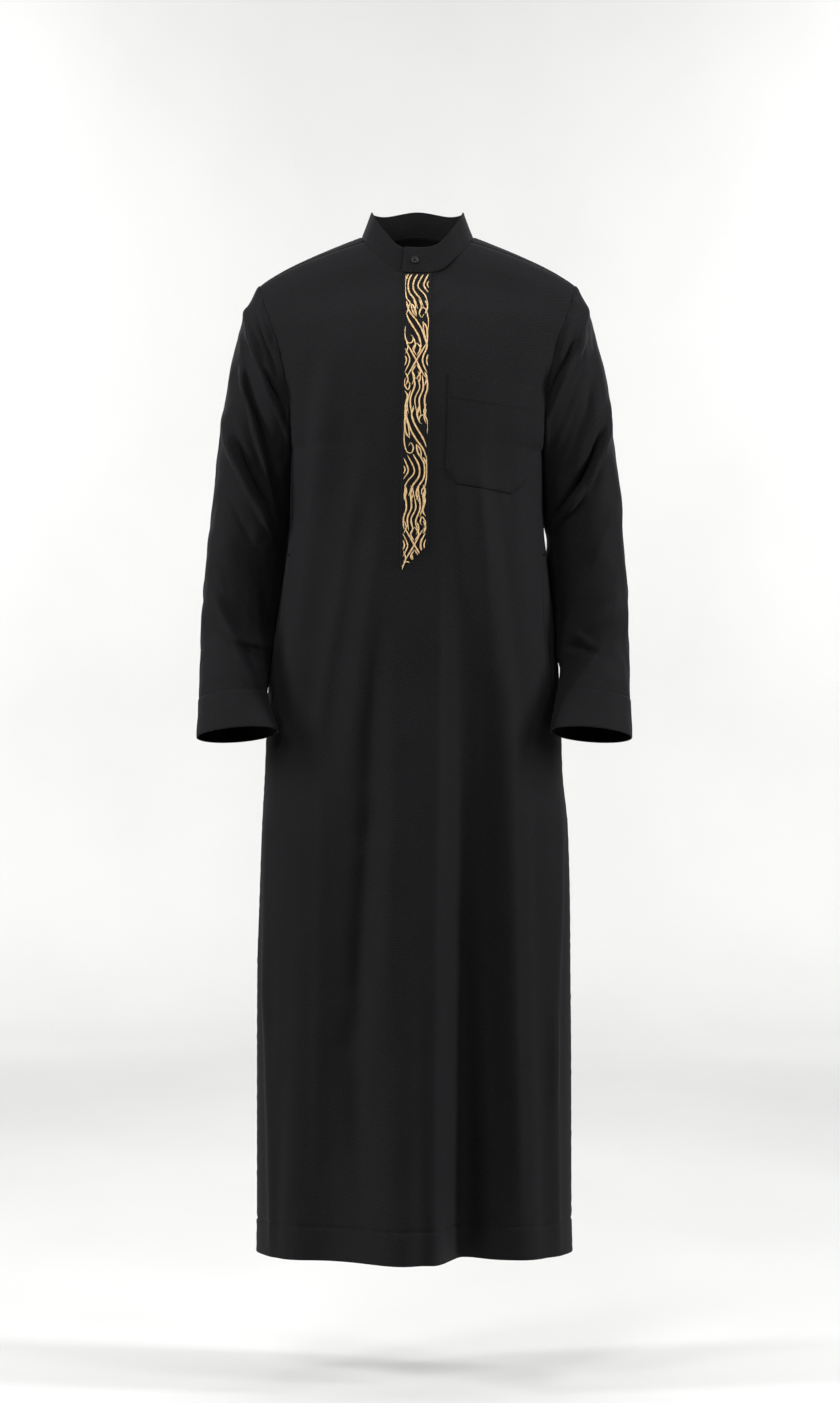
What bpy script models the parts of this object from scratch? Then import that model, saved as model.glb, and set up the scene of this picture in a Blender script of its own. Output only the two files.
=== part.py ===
# A black thobe in its worn shape: hollow, open at the neck, cuffs and hem.
# Frame: +Z up, +X to the wearer's left, the front faces -Y.
# The origin is the middle of the neck opening, level with the side neck points.
# Sizes in this file are millimetres, and MM turns them into Blender's metres.

from collections import namedtuple

import bmesh
import bpy
import numpy as np

MM = 0.001

# Cloth
CLOTH = 1.5               # wall of the panels and sleeves
BAND = 2.0                # collar and cuffs, two layers with an interlining
STRIP = 1.4               # placket strips and pocket
SEAM_GAP = 0.4            # between two pieces at a seam
LAID_GAP = 0.3            # between a panel and a strip made from its own points
POCKET_GAP = 1.0          # between the front and the pocket's flatter facets

# Driving dimensions
UNDERARM = 297.0          # below the side neck points
HEM = 1386.0              # below the side neck points
HEM_TURN = 45.0           # depth of the turned hem
HEM_EXTRA = 0.9           # what the turned cloth adds to the wall
HEM_STITCH_SINK = 0.7     # how far the stitches draw the cloth in
SLIT = 385.0              # length of the front opening, below the neckline
NECK_HALF = 76.5          # neckline oval, half of its width
NECK_FRONT = 72.0
NECK_BACK = 62.0
NECK_ROUND = 2.5          # exponent of the neckline oval
COLLAR_HEIGHT = 35.5
COLLAR_TOP_HALF = 63.0
COLLAR_TOP_FRONT = 62.5
COLLAR_TOP_BACK = 55.5
COLLAR_LAP = 20.0         # the upper end of the collar passes the middle by this
COLLAR_LIFT = 2.4         # the upper end lies this far outside the lower end
COLLAR_LAP_ENDS = (18.0, 50.0)    # angle where the lift starts to fade, and over how much
COLLAR_COLUMNS = (15.0, 14.0)     # x within which the upper and the under end take front columns
COLLAR_UPS = (0.0, 0.08, 0.3, 0.55, 0.8, 0.95, 1.0)
COLLAR_SEAT = 0.75        # its foot stands this much over the neckline's edge
CUFF_PROUD = 0.5          # the cuff stands this much outside the sleeve
CUFF_ALONGS = (1.0, 1.012, 1.06, 1.108, 1.12)
EDGE_THIN = 0.35          # what each side of a band loses at its edges, which rounds them
SEAM_AT_NECK = (72.5, -33.0)      # plan place where the forward shoulder seam meets the collar
SEAM_AT_TIP = -12.0               # the seam's plan depth at the shoulder point
PLACKET_RIGHT = 18.7              # the strip's edges at the collar, measured from the middle
PLACKET_LEFT = 18.8
PLACKET_INNER = 10.0              # its two columns between the edges and the middle
PLACKET_TOP = 55.0                # below the side neck points, the front of the neckline
PLACKET_LAST_ROW = 415.0          # the last of the front's own rows that it uses
PLACKET_UNDER_COLLAR = 1.2        # how far its top lies below the neckline
PLACKET_LEAN = 4.6                # how far the strip drifts to the wearer's right on its way down
PLACKET_TIP = 457.0               # below the side neck points, its pointed end
PLACKET_SHOULDER = 426.0          # the end of its other edge
BUTTON_DIAMETER = 10.5
BUTTON_AT = (-3.4, -38.0)         # x and z of its middle
BUTTON_GAP = 0.45                 # between the collar and the button's back
BUTTON_STEPS = 20                 # sides of the turned button
# Radius and height from the sunk middle, over the rim, to the flat back
BUTTON_PROFILE = [(0, 1.5), (2.6, 1.5), (3.3, 2.3), (4.5, 2.5), (BUTTON_DIAMETER / 2, 1.7),
                  (BUTTON_DIAMETER / 2, 0.6), (4.6, 0), (0, 0)]
BODY_ROUND = 2.2                  # exponent of the body's sections
SHOULDER_SOFT = 0.18              # how broadly the shoulder line rounds over the middle
SHOULDER_DROP = 0.13              # share of its fall that comes at the very tip

# Colours, linear
BLACK_TWILL = (0.017, 0.017, 0.0175, 1.0)
BLACK_HORN = (0.010, 0.010, 0.011, 1.0)

# The shoulder and chest, from the ridge of the shoulder (level 0) to the underarm (level 1).
# edge_ is the armhole curve, mid_ the middle of the figure, and turn is how the section rounds.
Yoke = namedtuple("Yoke", "level edge_x edge_y edge_z mid_y mid_z turn")
RIDGE = Yoke(0.00, 218.0, 0, -68, 0, 21, 1.10)
FRONT_YOKE = [
    Yoke(0.12, 217.5, -16, -70, -34, 7, 1.10),
    Yoke(0.25, 213.0, -38, -86, -58, -20, 1.10),
    Yoke(0.35, 207.0, -50, -104, -74.5, -62, 1.10),
    Yoke(0.50, 194.0, -62, -137, -101, -112, 1.12),
    Yoke(0.65, 183.0, -67, -178, -118, -165, 1.18),
    Yoke(0.80, 175.0, -62, -228, -127, -222, 1.35),
    Yoke(0.90, 172.5, -46, -268, -130, -260, 1.65),
    Yoke(0.96, 172.0, -24, -290, -130.5, -282, 1.95),
]
BACK_YOKE = [
    Yoke(0.12, 217.0, 16, -71, 30, 18, 1.10),
    Yoke(0.25, 212.0, 36, -88, 58, 10, 1.10),
    Yoke(0.35, 206.0, 48, -106, 80, -12, 1.10),
    Yoke(0.50, 195.0, 60, -137, 103, -62, 1.12),
    Yoke(0.65, 185.0, 66, -178, 117, -130, 1.18),
    Yoke(0.80, 177.0, 62, -228, 121, -205, 1.35),
    Yoke(0.90, 173.5, 47, -268, 119, -255, 1.65),
    Yoke(0.96, 172.5, 25, -290, 117.5, -282, 1.95),
]

# The body below the underarm, as level sections: half widths to the wearer's right and left,
# and depths to the front and back.
Drop = namedtuple("Drop", "z right left front back")
DROPS = [
    Drop(-297, 174.0, 171.5, 130.5, 117),
    Drop(-330, 174.0, 171.5, 130, 115.5),
    Drop(-365, 174.5, 172.0, 129, 113),
    Drop(-400, 175.5, 173.0, 128, 110.5),
    Drop(-441, 180.0, 177.5, 127, 109),
    Drop(-501, 188.5, 184.0, 126, 109.5),
    Drop(-556, 197.0, 190.0, 126, 113),
    Drop(-610, 204.0, 194.5, 126, 118),
    Drop(-680, 207.0, 197.0, 126, 122),
    Drop(-731, 209.0, 198.5, 125.5, 123),
    Drop(-808, 213.0, 206.0, 125, 124),
    Drop(-920, 217.0, 209.0, 124, 126),
    Drop(-1000, 219.5, 209.5, 123.5, 128),
    Drop(-1120, 220.0, 210.5, 123, 131),
    Drop(-1341, 220.0, 211.0, 122, 134),
    Drop(-1386, 220.5, 212.0, 122, 135),
]

# Folds, placed as they are seen from the front or from behind: each runs from (x0, z0) to
# (x1, z1), reaches half_right and half_left to its two sides, and rises from rise0 to rise1.
Fold = namedtuple("Fold", "x0 z0 x1 z1 half_right half_left rise0 rise1")
FOLD_END = 20.0                   # how softly a fold runs out at its two ends
FOLD_END_SHARE = 0.15             # and how much more so for each unit of its length
FOLDS_FROM = 0.25                 # the level below which the body starts to fold
FOLDS_OVER = 0.35                 # and the levels over which it does so fully
SIDE_FROM = 0.3                   # share of the width where folds start to stand sideways
SIDE_OVER = 0.5
LEAST_DEPTH = 60.0                # keeps the folds' direction steady over the shoulder
FRONT_FOLDS = [
    Fold(-12, -600, -20, -1450, 58, 48, 3, 54),          # the broad ridge down the middle
    Fold(25, -600, 24, -1450, 14, 13, 3, 16),            # the edge that catches the light
    Fold(60, -480, 62, -1450, 17, 36, -4, -66),          # the deep trough beside it
    Fold(120, -560, 152, -1450, 26, 28, 3, 14),
    Fold(-165, -760, -170, -1450, 24, 31, 1, 18),
    Fold(-52, -570, -62, -800, 17, 20, -4, -8),
    Fold(-64, -800, -88, -1080, 18, 20, -8, -7),
    Fold(-88, -1080, -74, -1260, 18, 20, -7, -3),
    Fold(-79, -430, -118, -665, 20, 22, -4, -4),
    Fold(-103, -300, -146, -540, 18, 22, -4, -5),
    Fold(-134, -255, -172, -610, 15, 18, 4, 5),
    Fold(-147, -200, -160, -360, 14, 16, -3, -3),
    Fold(184, -760, 190, -1350, 13, 15, 3, 5),
    Fold(-198, -790, -199, -1350, 13, 15, 3, 5),
    Fold(118, -330, 128, -560, 20, 22, -4, -3),
    Fold(66, -360, 84, -540, 20, 18, 3, 2),
]
BACK_FOLDS = [
    Fold(-70, -430, -118, -1450, 38, 34, 2, 17),
    Fold(-44, -640, -52, -1450, 22, 30, -1, -19),
    Fold(36, -520, 14, -1450, 30, 26, 2, 14),
    Fold(104, -400, 78, -1450, 32, 36, -4, -21),
    Fold(150, -700, 154, -1450, 22, 26, 1, 11),
    Fold(-158, -560, -172, -1450, 20, 24, -3, -9),
    Fold(132, -150, 96, -400, 20, 26, -3, -4),
    Fold(-140, -170, -100, -420, 26, 20, -4, -3),
    Fold(0, -250, 8, -520, 30, 30, -3, -3),
]

# A sleeve's rings: the outer and inner ends of each, its middle depth, how far its inner end
# lies behind its middle, half of its depth, and how much higher its front is than its middle.
Ring = namedtuple("Ring", "along out_right out_left out_z in_right in_left in_z y swing depth lift")
ARMHOLE_BLEND = 0.34              # share of the sleeve that still follows the armhole's own curve
SLEEVE_FOLD_ENDS = (0.08, 1.02)   # shares of the sleeve where its folds are full, and end
RINGS = [
    Ring(0.00, 218, 218, -68, 174, 171.5, -297, 0, 0, 66, 0),
    Ring(0.10, 237.5, 236, -112, 177, 174.5, -318, 4, 4, 69, 0),
    Ring(0.22, 252.5, 251, -167, 175.0, 172.5, -345, 12, 8, 67, 0),
    Ring(0.36, 264, 262.5, -235, 176.5, 174.5, -385, 20, 10, 63, 0),
    Ring(0.46, 273.5, 271.5, -303, 178.5, 178.5, -416, 25, 10, 60, 1),
    Ring(0.56, 281, 278.5, -367, 180.5, 178.5, -451, 26, 11.5, 58, 1.4),
    Ring(0.64, 285.5, 281.5, -414, 184.5, 180.5, -480, 24, 14, 56, 2),
    Ring(0.76, 291.5, 285, -490, 195, 188.5, -535, 2, 20, 53, 4),
    Ring(0.86, 294, 287, -550, 201.5, 194.5, -576, -22, 20, 50, 6),
    Ring(0.94, 295, 287, -600, 204, 198.5, -605, -42, 12, 48, 8),
    Ring(1.00, 295, 287, -634, 204.5, 197, -624, -55, 6, 46.5, 9),
    Ring(1.12, 296.5, 288, -684, 189, 181, -675, -78, 0, 45, 10),
]
SLEEVE_FOLDS_RIGHT = [
    Fold(-224, -118, -196, -235, 18, 20, 7, 6),
    Fold(-246, -150, -212, -310, 19, 18, -8, -8),
    Fold(-262, -250, -206, -400, 18, 20, 6, 5),
    Fold(-280, -330, -220, -455, 19, 18, -6, -5),
    Fold(-270, -490, -212, -560, 18, 18, -9, -9),
    Fold(-286, -520, -226, -604, 17, 16, 6, 7),
]
SLEEVE_FOLDS_LEFT = [
    Fold(216, -100, 190, -232, 18, 18, 7, 5),
    Fold(238, -150, 192, -290, 18, 18, -8, -8),
    Fold(254, -190, 250, -290, 17, 20, 8, 7),
    Fold(246, -300, 200, -396, 18, 19, -8, -8),
    Fold(272, -380, 214, -476, 18, 18, 6, 5),
    Fold(250, -520, 196, -540, 17, 17, 8, 8),
    Fold(262, -562, 204, -590, 17, 16, -9, -7),
]
SLEEVE_FOLDS_BEHIND = [
    Fold(222, -120, 196, -260, 18, 18, 6, 6),
    Fold(244, -180, 204, -330, 19, 18, -7, -7),
    Fold(266, -300, 206, -430, 18, 20, 5, 6),
    Fold(284, -440, 196, -500, 17, 17, -9, -9),
    Fold(282, -486, 206, -550, 17, 17, 7, 7),
    Fold(288, -560, 220, -596, 17, 16, -6, -6),
]

# The chest pocket: its corners as (x, z), seen from the front, and its cut lower corners.
POCKET_TOP = ((42.0, -196.0), (152.5, -209.0))
POCKET_FOOT = ((37.0, -341.5), (146.0, -357.5))
POCKET_CUT = 0.15                 # share of the width that each lower corner loses
POCKET_CUT_FROM = 0.87            # share of the height where the cut starts
POCKET_TURN = 33.0                # depth of the turned band at the top
POCKET_TURN_EXTRA = 0.5
POCKET_TURN_STEP = 0.012          # share of the height over which the band's step falls
POCKET_COLUMNS = 8
POCKET_ROWS = 4                   # between the band and the cut corners

# Grid counts
NECK_COLUMNS = 5                  # front columns on each side along the neckline
SIDE_COLUMNS = 16                 # front columns on each side of the placket
YOKE_ROWS = 9
DROP_ROWS = 21
BACK_COLUMNS = 15                 # on each side of the middle
BACK_NECK_COLUMNS = 6
BACK_YOKE_ROWS = 11
SLEEVE_RINGS = 25
CORNER_PUSH = 1.0                 # how far the back's columns swing out beside the neck
CORNER_REACH = 2.2                # and how many columns do
STITCH_ROWS = (-9.0, -2.0, 2.0)   # rows above and beside the hem stitches
EDGE_SAMPLES = 160                # for the length of the cloth along a row

# Searches and small steps
HALVINGS = 40
FRONT_LEVELS = (-2.2, -0.05)
NECK_LEVELS = (-0.6, 0.6)
SEAM_LEVELS = (-0.4, 0.05)
SMALL = 1e-3
TURN_SMALL = 0.02
FIRST_ALONG = 0.002
NEVER_ZERO = 1e-9
MITRE_LEAST = 0.7                 # keeps the wall at a sharp seam from growing long


def through(xs, ys, x):
    """A smooth curve through a table's values, which never overshoots them."""
    step = np.diff(xs)
    slope = np.diff(ys) / step
    product = slope[:-1] * slope[1:]
    total = slope[:-1] + slope[1:]
    tangent = np.concatenate([slope[:1], np.zeros(len(slope) - 1), slope[-1:]])
    rising = product > 0
    tangent[1:-1][rising] = 2 * product[rising] / total[rising]
    i = np.clip(np.searchsorted(xs, x) - 1, 0, len(step) - 1)
    t = np.clip((x - xs[i]) / step[i], 0, 1)
    return (
        ys[i] * (1 + 2 * t) * (1 - t) ** 2
        + ys[i + 1] * t * t * (3 - 2 * t)
        + step[i] * t * (1 - t) * (tangent[i] * (1 - t) - tangent[i + 1] * t)
    )


def ease(t):
    t = np.clip(t, 0, 1)
    return t * t * (3 - 2 * t)


def column(rows, name):
    return np.array([getattr(row, name) for row in rows], float)


def fold_rise(x, z, folds):
    """How far the folds lift or sink the cloth at a place seen from the front."""
    total = np.zeros(np.broadcast(x, z).shape)
    for fold in folds:
        run, fall = fold.x1 - fold.x0, fold.z1 - fold.z0
        length = np.hypot(run, fall)
        along = ((x - fold.x0) * run + (z - fold.z0) * fall) / length**2
        beside = ((z - fold.z0) * run - (x - fold.x0) * fall) / length
        past = np.maximum(0, np.maximum(-along, along - 1)) * length
        reach = np.where(beside < 0, fold.half_right, fold.half_left)
        soft_end = FOLD_END + FOLD_END_SHARE * length
        rise = fold.rise0 + (fold.rise1 - fold.rise0) * np.clip(along, 0, 1)
        total = total + rise * np.exp(-((beside / reach) ** 2) - (past / soft_end) ** 2)
    return total


def level_of(z):
    """The level of a height below the underarm."""
    return 1 + (-UNDERARM - z) / 1000


def body_table():
    """Every section of the body by its signed level: the front is negative, the back positive."""
    table = {name: [] for name in "level right left edge_y edge_z mid_y mid_z turn".split()}

    def add(level, right, left, edge_y, edge_z, mid_y, mid_z, turn):
        for name, value in zip(table, (level, right, left, edge_y, edge_z, mid_y, mid_z, turn)):
            table[name].append(value)

    for drop in reversed(DROPS):
        add(-level_of(drop.z), drop.right, drop.left, 0, drop.z, -drop.front, drop.z, BODY_ROUND)
    for row in reversed(FRONT_YOKE):
        add(-row.level, row.edge_x, row.edge_x, *row[2:])
    add(0, RIDGE.edge_x, RIDGE.edge_x, *RIDGE[2:])
    for row in BACK_YOKE:
        add(row.level, row.edge_x, row.edge_x, *row[2:])
    for drop in DROPS:
        add(level_of(drop.z), drop.right, drop.left, 0, drop.z, drop.back, drop.z, BODY_ROUND)
    return {name: np.array(values, float) for name, values in table.items()}


BODY = body_table()


def body_row(name, level):
    return through(BODY["level"], BODY[name], level)


def half_width(level, side):
    return np.where(side < 0, body_row("right", level), body_row("left", level))


def shoulder_fall(out):
    """How far the shoulder line has fallen, from 0 at the middle to 1 at its tip."""
    slope = np.hypot(out, SHOULDER_SOFT) - SHOULDER_SOFT
    whole = np.hypot(1, SHOULDER_SOFT) - SHOULDER_SOFT
    return (1 - SHOULDER_DROP) * slope / whole + SHOULDER_DROP * out**7


def body(share, level):
    """A point of the cloth: share is -1 at the wearer's right edge and 1 at the left edge."""
    share, level = np.broadcast_arrays(np.asarray(share, float), np.asarray(level, float))
    out = np.clip(np.abs(share), 0, 1)
    half = half_width(level, share)
    turn = body_row("turn", level)
    edge_y, mid_y = body_row("edge_y", level), body_row("mid_y", level)
    edge_z, mid_z = body_row("edge_z", level), body_row("mid_z", level)
    bulge = (1 - out**BODY_ROUND) ** (1 / turn)
    x = share * half
    y = edge_y + (mid_y - edge_y) * bulge
    z = mid_z + (edge_z - mid_z) * shoulder_fall(out)
    rise = np.where(level < 0, fold_rise(x, z, FRONT_FOLDS), fold_rise(x, z, BACK_FOLDS))
    rise = rise * (1 - out**8) * ease((np.abs(level) - FOLDS_FROM) / FOLDS_OVER)
    # In the middle of the body the folds stand straight forward, at its sides they stand square
    across = np.sign(share) * out ** (BODY_ROUND - 1) / half * ease((out - SIDE_FROM) / SIDE_OVER)
    forward = np.sign(level) * bulge ** (BODY_ROUND - 1) / np.maximum(np.abs(mid_y), LEAST_DEPTH)
    size = np.hypot(across, forward) + NEVER_ZERO
    return np.stack([x + rise * across / size, y + rise * forward / size, z], -1)


def normals_of(surface, u, v):
    """Unit normals of a surface function, by small steps that stay inside its range."""
    du = np.where(u > 0.5, -SMALL, SMALL)
    dv = np.where(v > 0, -SMALL, SMALL)
    here = surface(u, v)
    normal = np.cross((surface(u + du, v) - here) * np.sign(du)[..., None],
                      (surface(u, v + dv) - here) * np.sign(dv)[..., None])
    return normal / np.maximum(np.linalg.norm(normal, axis=-1, keepdims=True), NEVER_ZERO)


def body_normals(share, level):
    """Unit normals of the body, outward: its levels run upward in front and downward behind."""
    return normals_of(body, share, level)


def find_level(x, goal, axis, between):
    """The level at which the body passes a given depth or height, at a given x."""
    low = np.full(np.shape(x), between[0], float)
    high = np.full(np.shape(x), between[1], float)
    for _ in range(HALVINGS):
        middle = (low + high) / 2
        share = x / half_width(middle, x)
        value = body(np.clip(share, -1, 1), middle)[..., axis]
        # The depth and the front's height both grow with the signed level
        low, high = np.where(value < goal, middle, low), np.where(value < goal, high, middle)
    return (low + high) / 2


def on_front(x, z):
    """(share, level) of a place on the front, seen from the front."""
    x, z = np.broadcast_arrays(np.asarray(x, float), np.asarray(z, float))
    level = find_level(x, z, 2, FRONT_LEVELS)
    return x / half_width(level, x), level


def neck_plan(angle, half, front, back):
    """The plan oval of the neck: angle 0 is the front, 90 the wearer's left."""
    a = np.radians(angle)
    s, c = np.sin(a), np.cos(a)
    depth = np.where(c > 0, front, back)
    power = 2 / NECK_ROUND
    return half * np.sign(s) * np.abs(s) ** power, -depth * np.sign(c) * np.abs(c) ** power


def neck_angle(x):
    """The front angle at which the neckline oval has this x."""
    return np.degrees(np.arcsin(np.sign(x) * (np.abs(x) / NECK_HALF) ** (NECK_ROUND / 2)))


def neckline(angle):
    """(share, level) of the neckline at a plan angle."""
    x, y = neck_plan(angle, NECK_HALF, NECK_FRONT, NECK_BACK)
    level = find_level(x, y, 1, NECK_LEVELS)
    return x / half_width(level, x), level


def shoulder_seam(x):
    """(share, level) of the forward shoulder seam at this x."""
    neck_x, neck_y = SEAM_AT_NECK
    tip = RIDGE.edge_x
    y = neck_y + (SEAM_AT_TIP - neck_y) * (np.abs(x) - neck_x) / (tip - neck_x)
    level = find_level(x, y, 1, SEAM_LEVELS)
    return np.clip(x / half_width(level, x), -1, 1), level


def lean(z):
    """The placket's drift to the wearer's right at this height."""
    return -PLACKET_LEAN * np.clip((-z - PLACKET_TOP) / (PLACKET_TIP - PLACKET_TOP), 0, 1)


def zone_x(z):
    """The x of the five front columns that carry the placket."""
    offsets = (-PLACKET_RIGHT, -PLACKET_INNER, 0.0, PLACKET_INNER, PLACKET_LEFT)
    return np.stack([np.full(np.shape(z), offset) + lean(z) for offset in offsets], -1)


def even_shares(level, side, inner_x, count):
    """Shares that part the cloth evenly, by its length, from inner_x to the edge."""
    start = abs(inner_x) / half_width(np.array(level), np.array(side))
    fine = start + (1 - start) * np.sin(np.linspace(0, np.pi / 2, EDGE_SAMPLES + 1))
    points = body(side * fine, np.full(fine.shape, level))
    run = np.concatenate([[0], np.cumsum(np.linalg.norm(np.diff(points, axis=0), axis=1))])
    return side * np.interp(np.linspace(0, run[-1], count + 1), run, fine)


def drop_levels():
    """Levels of the rows below the underarm, with a row on each side of the hem stitches."""
    stitch = HEM - HEM_TURN
    above, before, after = STITCH_ROWS
    heights = list(np.linspace(UNDERARM, stitch + above, DROP_ROWS - 2))
    heights += [stitch + before, stitch + after, stitch + HEM_TURN / 2, HEM]
    return level_of(-np.array(heights))


def front_grid():
    """(share, level) of the front's grid; the middle column is stored twice, for the slit."""
    zone_top = zone_x(np.array(-PLACKET_TOP))
    angles = {}
    shares_top, levels_top = [], []
    for side in (-1, 1):
        inner = neck_angle(zone_top[0] if side < 0 else zone_top[-1])
        outer = neck_angle(side * SEAM_AT_NECK[0])
        angles[side] = np.linspace(inner, outer, NECK_COLUMNS + 1)[1:]
    for side in (-1, 1):
        neck_share, neck_level = neckline(angles[side])
        seam_x = side * np.linspace(SEAM_AT_NECK[0], RIDGE.edge_x, SIDE_COLUMNS - NECK_COLUMNS + 1)[1:]
        seam_share, seam_level = shoulder_seam(seam_x)
        shares_top.append(np.concatenate([neck_share, seam_share]))
        levels_top.append(np.concatenate([neck_level, seam_level]))
    zone_share, zone_level = neckline(neck_angle(zone_top))
    share_top = np.concatenate([shares_top[0][::-1], zone_share, shares_top[1]])
    level_top = np.concatenate([levels_top[0][::-1], zone_level, levels_top[1]])

    def whole_row(level):
        z = body(0.0, level)[2]
        zone = zone_x(z)
        right = even_shares(level, -1, zone[0], SIDE_COLUMNS)[1:]
        left = even_shares(level, 1, zone[-1], SIDE_COLUMNS)[1:]
        return np.concatenate([right[::-1], zone / half_width(level, zone), left])

    underarm_row = whole_row(-1.0)
    rows = []
    for t in np.linspace(0, 1, YOKE_ROWS + 1)[:-1]:
        level = level_top + (-1 - level_top) * t
        share = share_top + (underarm_row - share_top) * t
        middle = slice(SIDE_COLUMNS, SIDE_COLUMNS + 5)
        z = body(share[middle], level[middle])[:, 2]
        straight = np.array([zone_x(height)[k] for k, height in enumerate(z)])
        share[middle] = straight / half_width(level[middle], straight)
        rows.append((share, level))
    for level in drop_levels():
        rows.append((whole_row(-level), np.full(len(share_top), -level)))
    share = np.array([row[0] for row in rows])
    level = np.array([row[1] for row in rows])
    middle = SIDE_COLUMNS + 2
    order = list(range(middle + 1)) + list(range(middle, share.shape[1]))
    return share[:, order], level[:, order]


def back_grid():
    """(share, level) of the back's grid, from the forward shoulder seam and the neckline."""
    corner = neck_angle(SEAM_AT_NECK[0])
    angles = np.linspace(180, corner, BACK_NECK_COLUMNS + 1)
    neck_share, neck_level = neckline(angles)
    seam_x = np.linspace(SEAM_AT_NECK[0], RIDGE.edge_x, BACK_COLUMNS - BACK_NECK_COLUMNS + 1)[1:]
    seam_share, seam_level = shoulder_seam(seam_x)
    half_share = np.concatenate([neck_share, seam_share])
    half_level = np.concatenate([neck_level, seam_level])
    share_top = np.concatenate([-half_share[:0:-1], half_share])
    level_top = np.concatenate([half_level[:0:-1], half_level])

    def whole_row(level):
        right = even_shares(level, -1, 0.0, BACK_COLUMNS)[1:]
        left = even_shares(level, 1, 0.0, BACK_COLUMNS)
        return np.concatenate([right[::-1], left])

    # The columns near the collar's corner swing out, so that they pass round the neck's side
    from_corner = np.abs(np.arange(len(share_top)) - BACK_COLUMNS) - BACK_NECK_COLUMNS
    push = np.sign(share_top) * CORNER_PUSH * np.exp(-((from_corner / CORNER_REACH) ** 2))
    underarm_row = whole_row(1.0)
    rows = []
    for t in np.linspace(0, 1, BACK_YOKE_ROWS + 1)[:-1]:
        share = share_top + (underarm_row - share_top) * t + push * t * (1 - t) ** 4
        rows.append((share, level_top + (1 - level_top) * t))
    for level in drop_levels():
        rows.append((whole_row(level), np.full(len(share_top), level)))
    return np.array([row[0] for row in rows]), np.array([row[1] for row in rows])


def sleeve(side, along, turn):
    """A point of a sleeve: turn 0 is its outer edge, 0.25 the front, 0.5 the inner edge."""
    along, turn = np.broadcast_arrays(np.asarray(along, float), np.asarray(turn, float))

    def row(name):
        return through(column(RINGS, "along"), column(RINGS, name), along)

    def ring(out_x, out_z, in_x, in_z, y, swing, depth, lift):
        c, s = np.cos(2 * np.pi * turn), np.sin(2 * np.pi * turn)
        x = side * ((out_x + in_x) / 2 + (out_x - in_x) / 2 * c)
        z = (out_z + in_z) / 2 + (out_z - in_z) / 2 * c + lift * s
        return np.stack([x, y - swing * c - depth * s, z], -1)

    name = "left" if side > 0 else "right"
    point = ring(row("out_" + name), row("out_z"), row("in_" + name), row("in_z"),
                 row("y"), row("swing"), row("depth"), row("lift"))
    first = RINGS[0]
    start = ring(getattr(first, "out_" + name), first.out_z, getattr(first, "in_" + name),
                 first.in_z, first.y, first.swing, first.depth, first.lift)
    armhole = body(side, np.where(turn < 0.5, -2 * turn, 2 - 2 * turn))
    fade = (1 - ease(along / ARMHOLE_BLEND))[..., None]
    point = point + (armhole - start) * fade
    c, s = np.cos(2 * np.pi * turn), np.sin(2 * np.pi * turn)
    front = SLEEVE_FOLDS_LEFT if side > 0 else SLEEVE_FOLDS_RIGHT
    seen = point[..., 0], point[..., 2]
    behind = fold_rise(seen[0] * side, seen[1], SLEEVE_FOLDS_BEHIND)
    rise = np.where(s > 0, fold_rise(*seen, front), behind) * np.abs(s) ** 0.6
    full, end = SLEEVE_FOLD_ENDS
    rise = rise * ease(along / full) * ease((end - along) / full)
    # The inner half moves less sideways, so that it stays clear of the body
    outward = np.stack([side * c * (0.45 + 0.35 * c), -s, 0.3 * c], -1)
    return point + rise[..., None] * outward


def sleeve_normals(side, along, turn):
    """Unit normals of a sleeve, outward, by a small step down it and a wider one round it."""
    small = np.where(along > 0.5, -SMALL, SMALL)
    down = (sleeve(side, along + small, turn) - sleeve(side, along, turn)) * np.sign(small)[..., None]
    around = sleeve(side, along, turn + TURN_SMALL) - sleeve(side, along, turn - TURN_SMALL)
    normal = side * np.cross(around, down)
    return normal / np.linalg.norm(normal, axis=-1, keepdims=True)


def shared(own, other):
    """The direction in which two walls that meet at a seam both get their thickness."""
    dot = np.clip((own * other).sum(-1, keepdims=True), 0, 1)
    mixed = own + other * dot
    mixed = mixed / np.linalg.norm(mixed, axis=-1, keepdims=True)
    return mixed / np.maximum((mixed * own).sum(-1, keepdims=True), MITRE_LEAST)


def draw_back(grid, row, inner_row, gap):
    """Moves an edge row towards its neighbour by gap."""
    step = grid[inner_row] - grid[row]
    length = np.maximum(np.linalg.norm(step, axis=-1, keepdims=True), NEVER_ZERO)
    grid[row] = grid[row] + step / length * gap


def sheet_faces(index, closed=False, skip=None):
    """Quads of a grid of vertex numbers; closed joins its last column to its first."""
    rows, columns = index.shape
    faces = []
    for i in range(rows - 1):
        for j in range(columns if closed else columns - 1):
            k = (j + 1) % columns
            if j != skip:
                faces.append([index[i, j], index[i, k], index[i + 1, k], index[i + 1, j]])
    return faces


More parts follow.
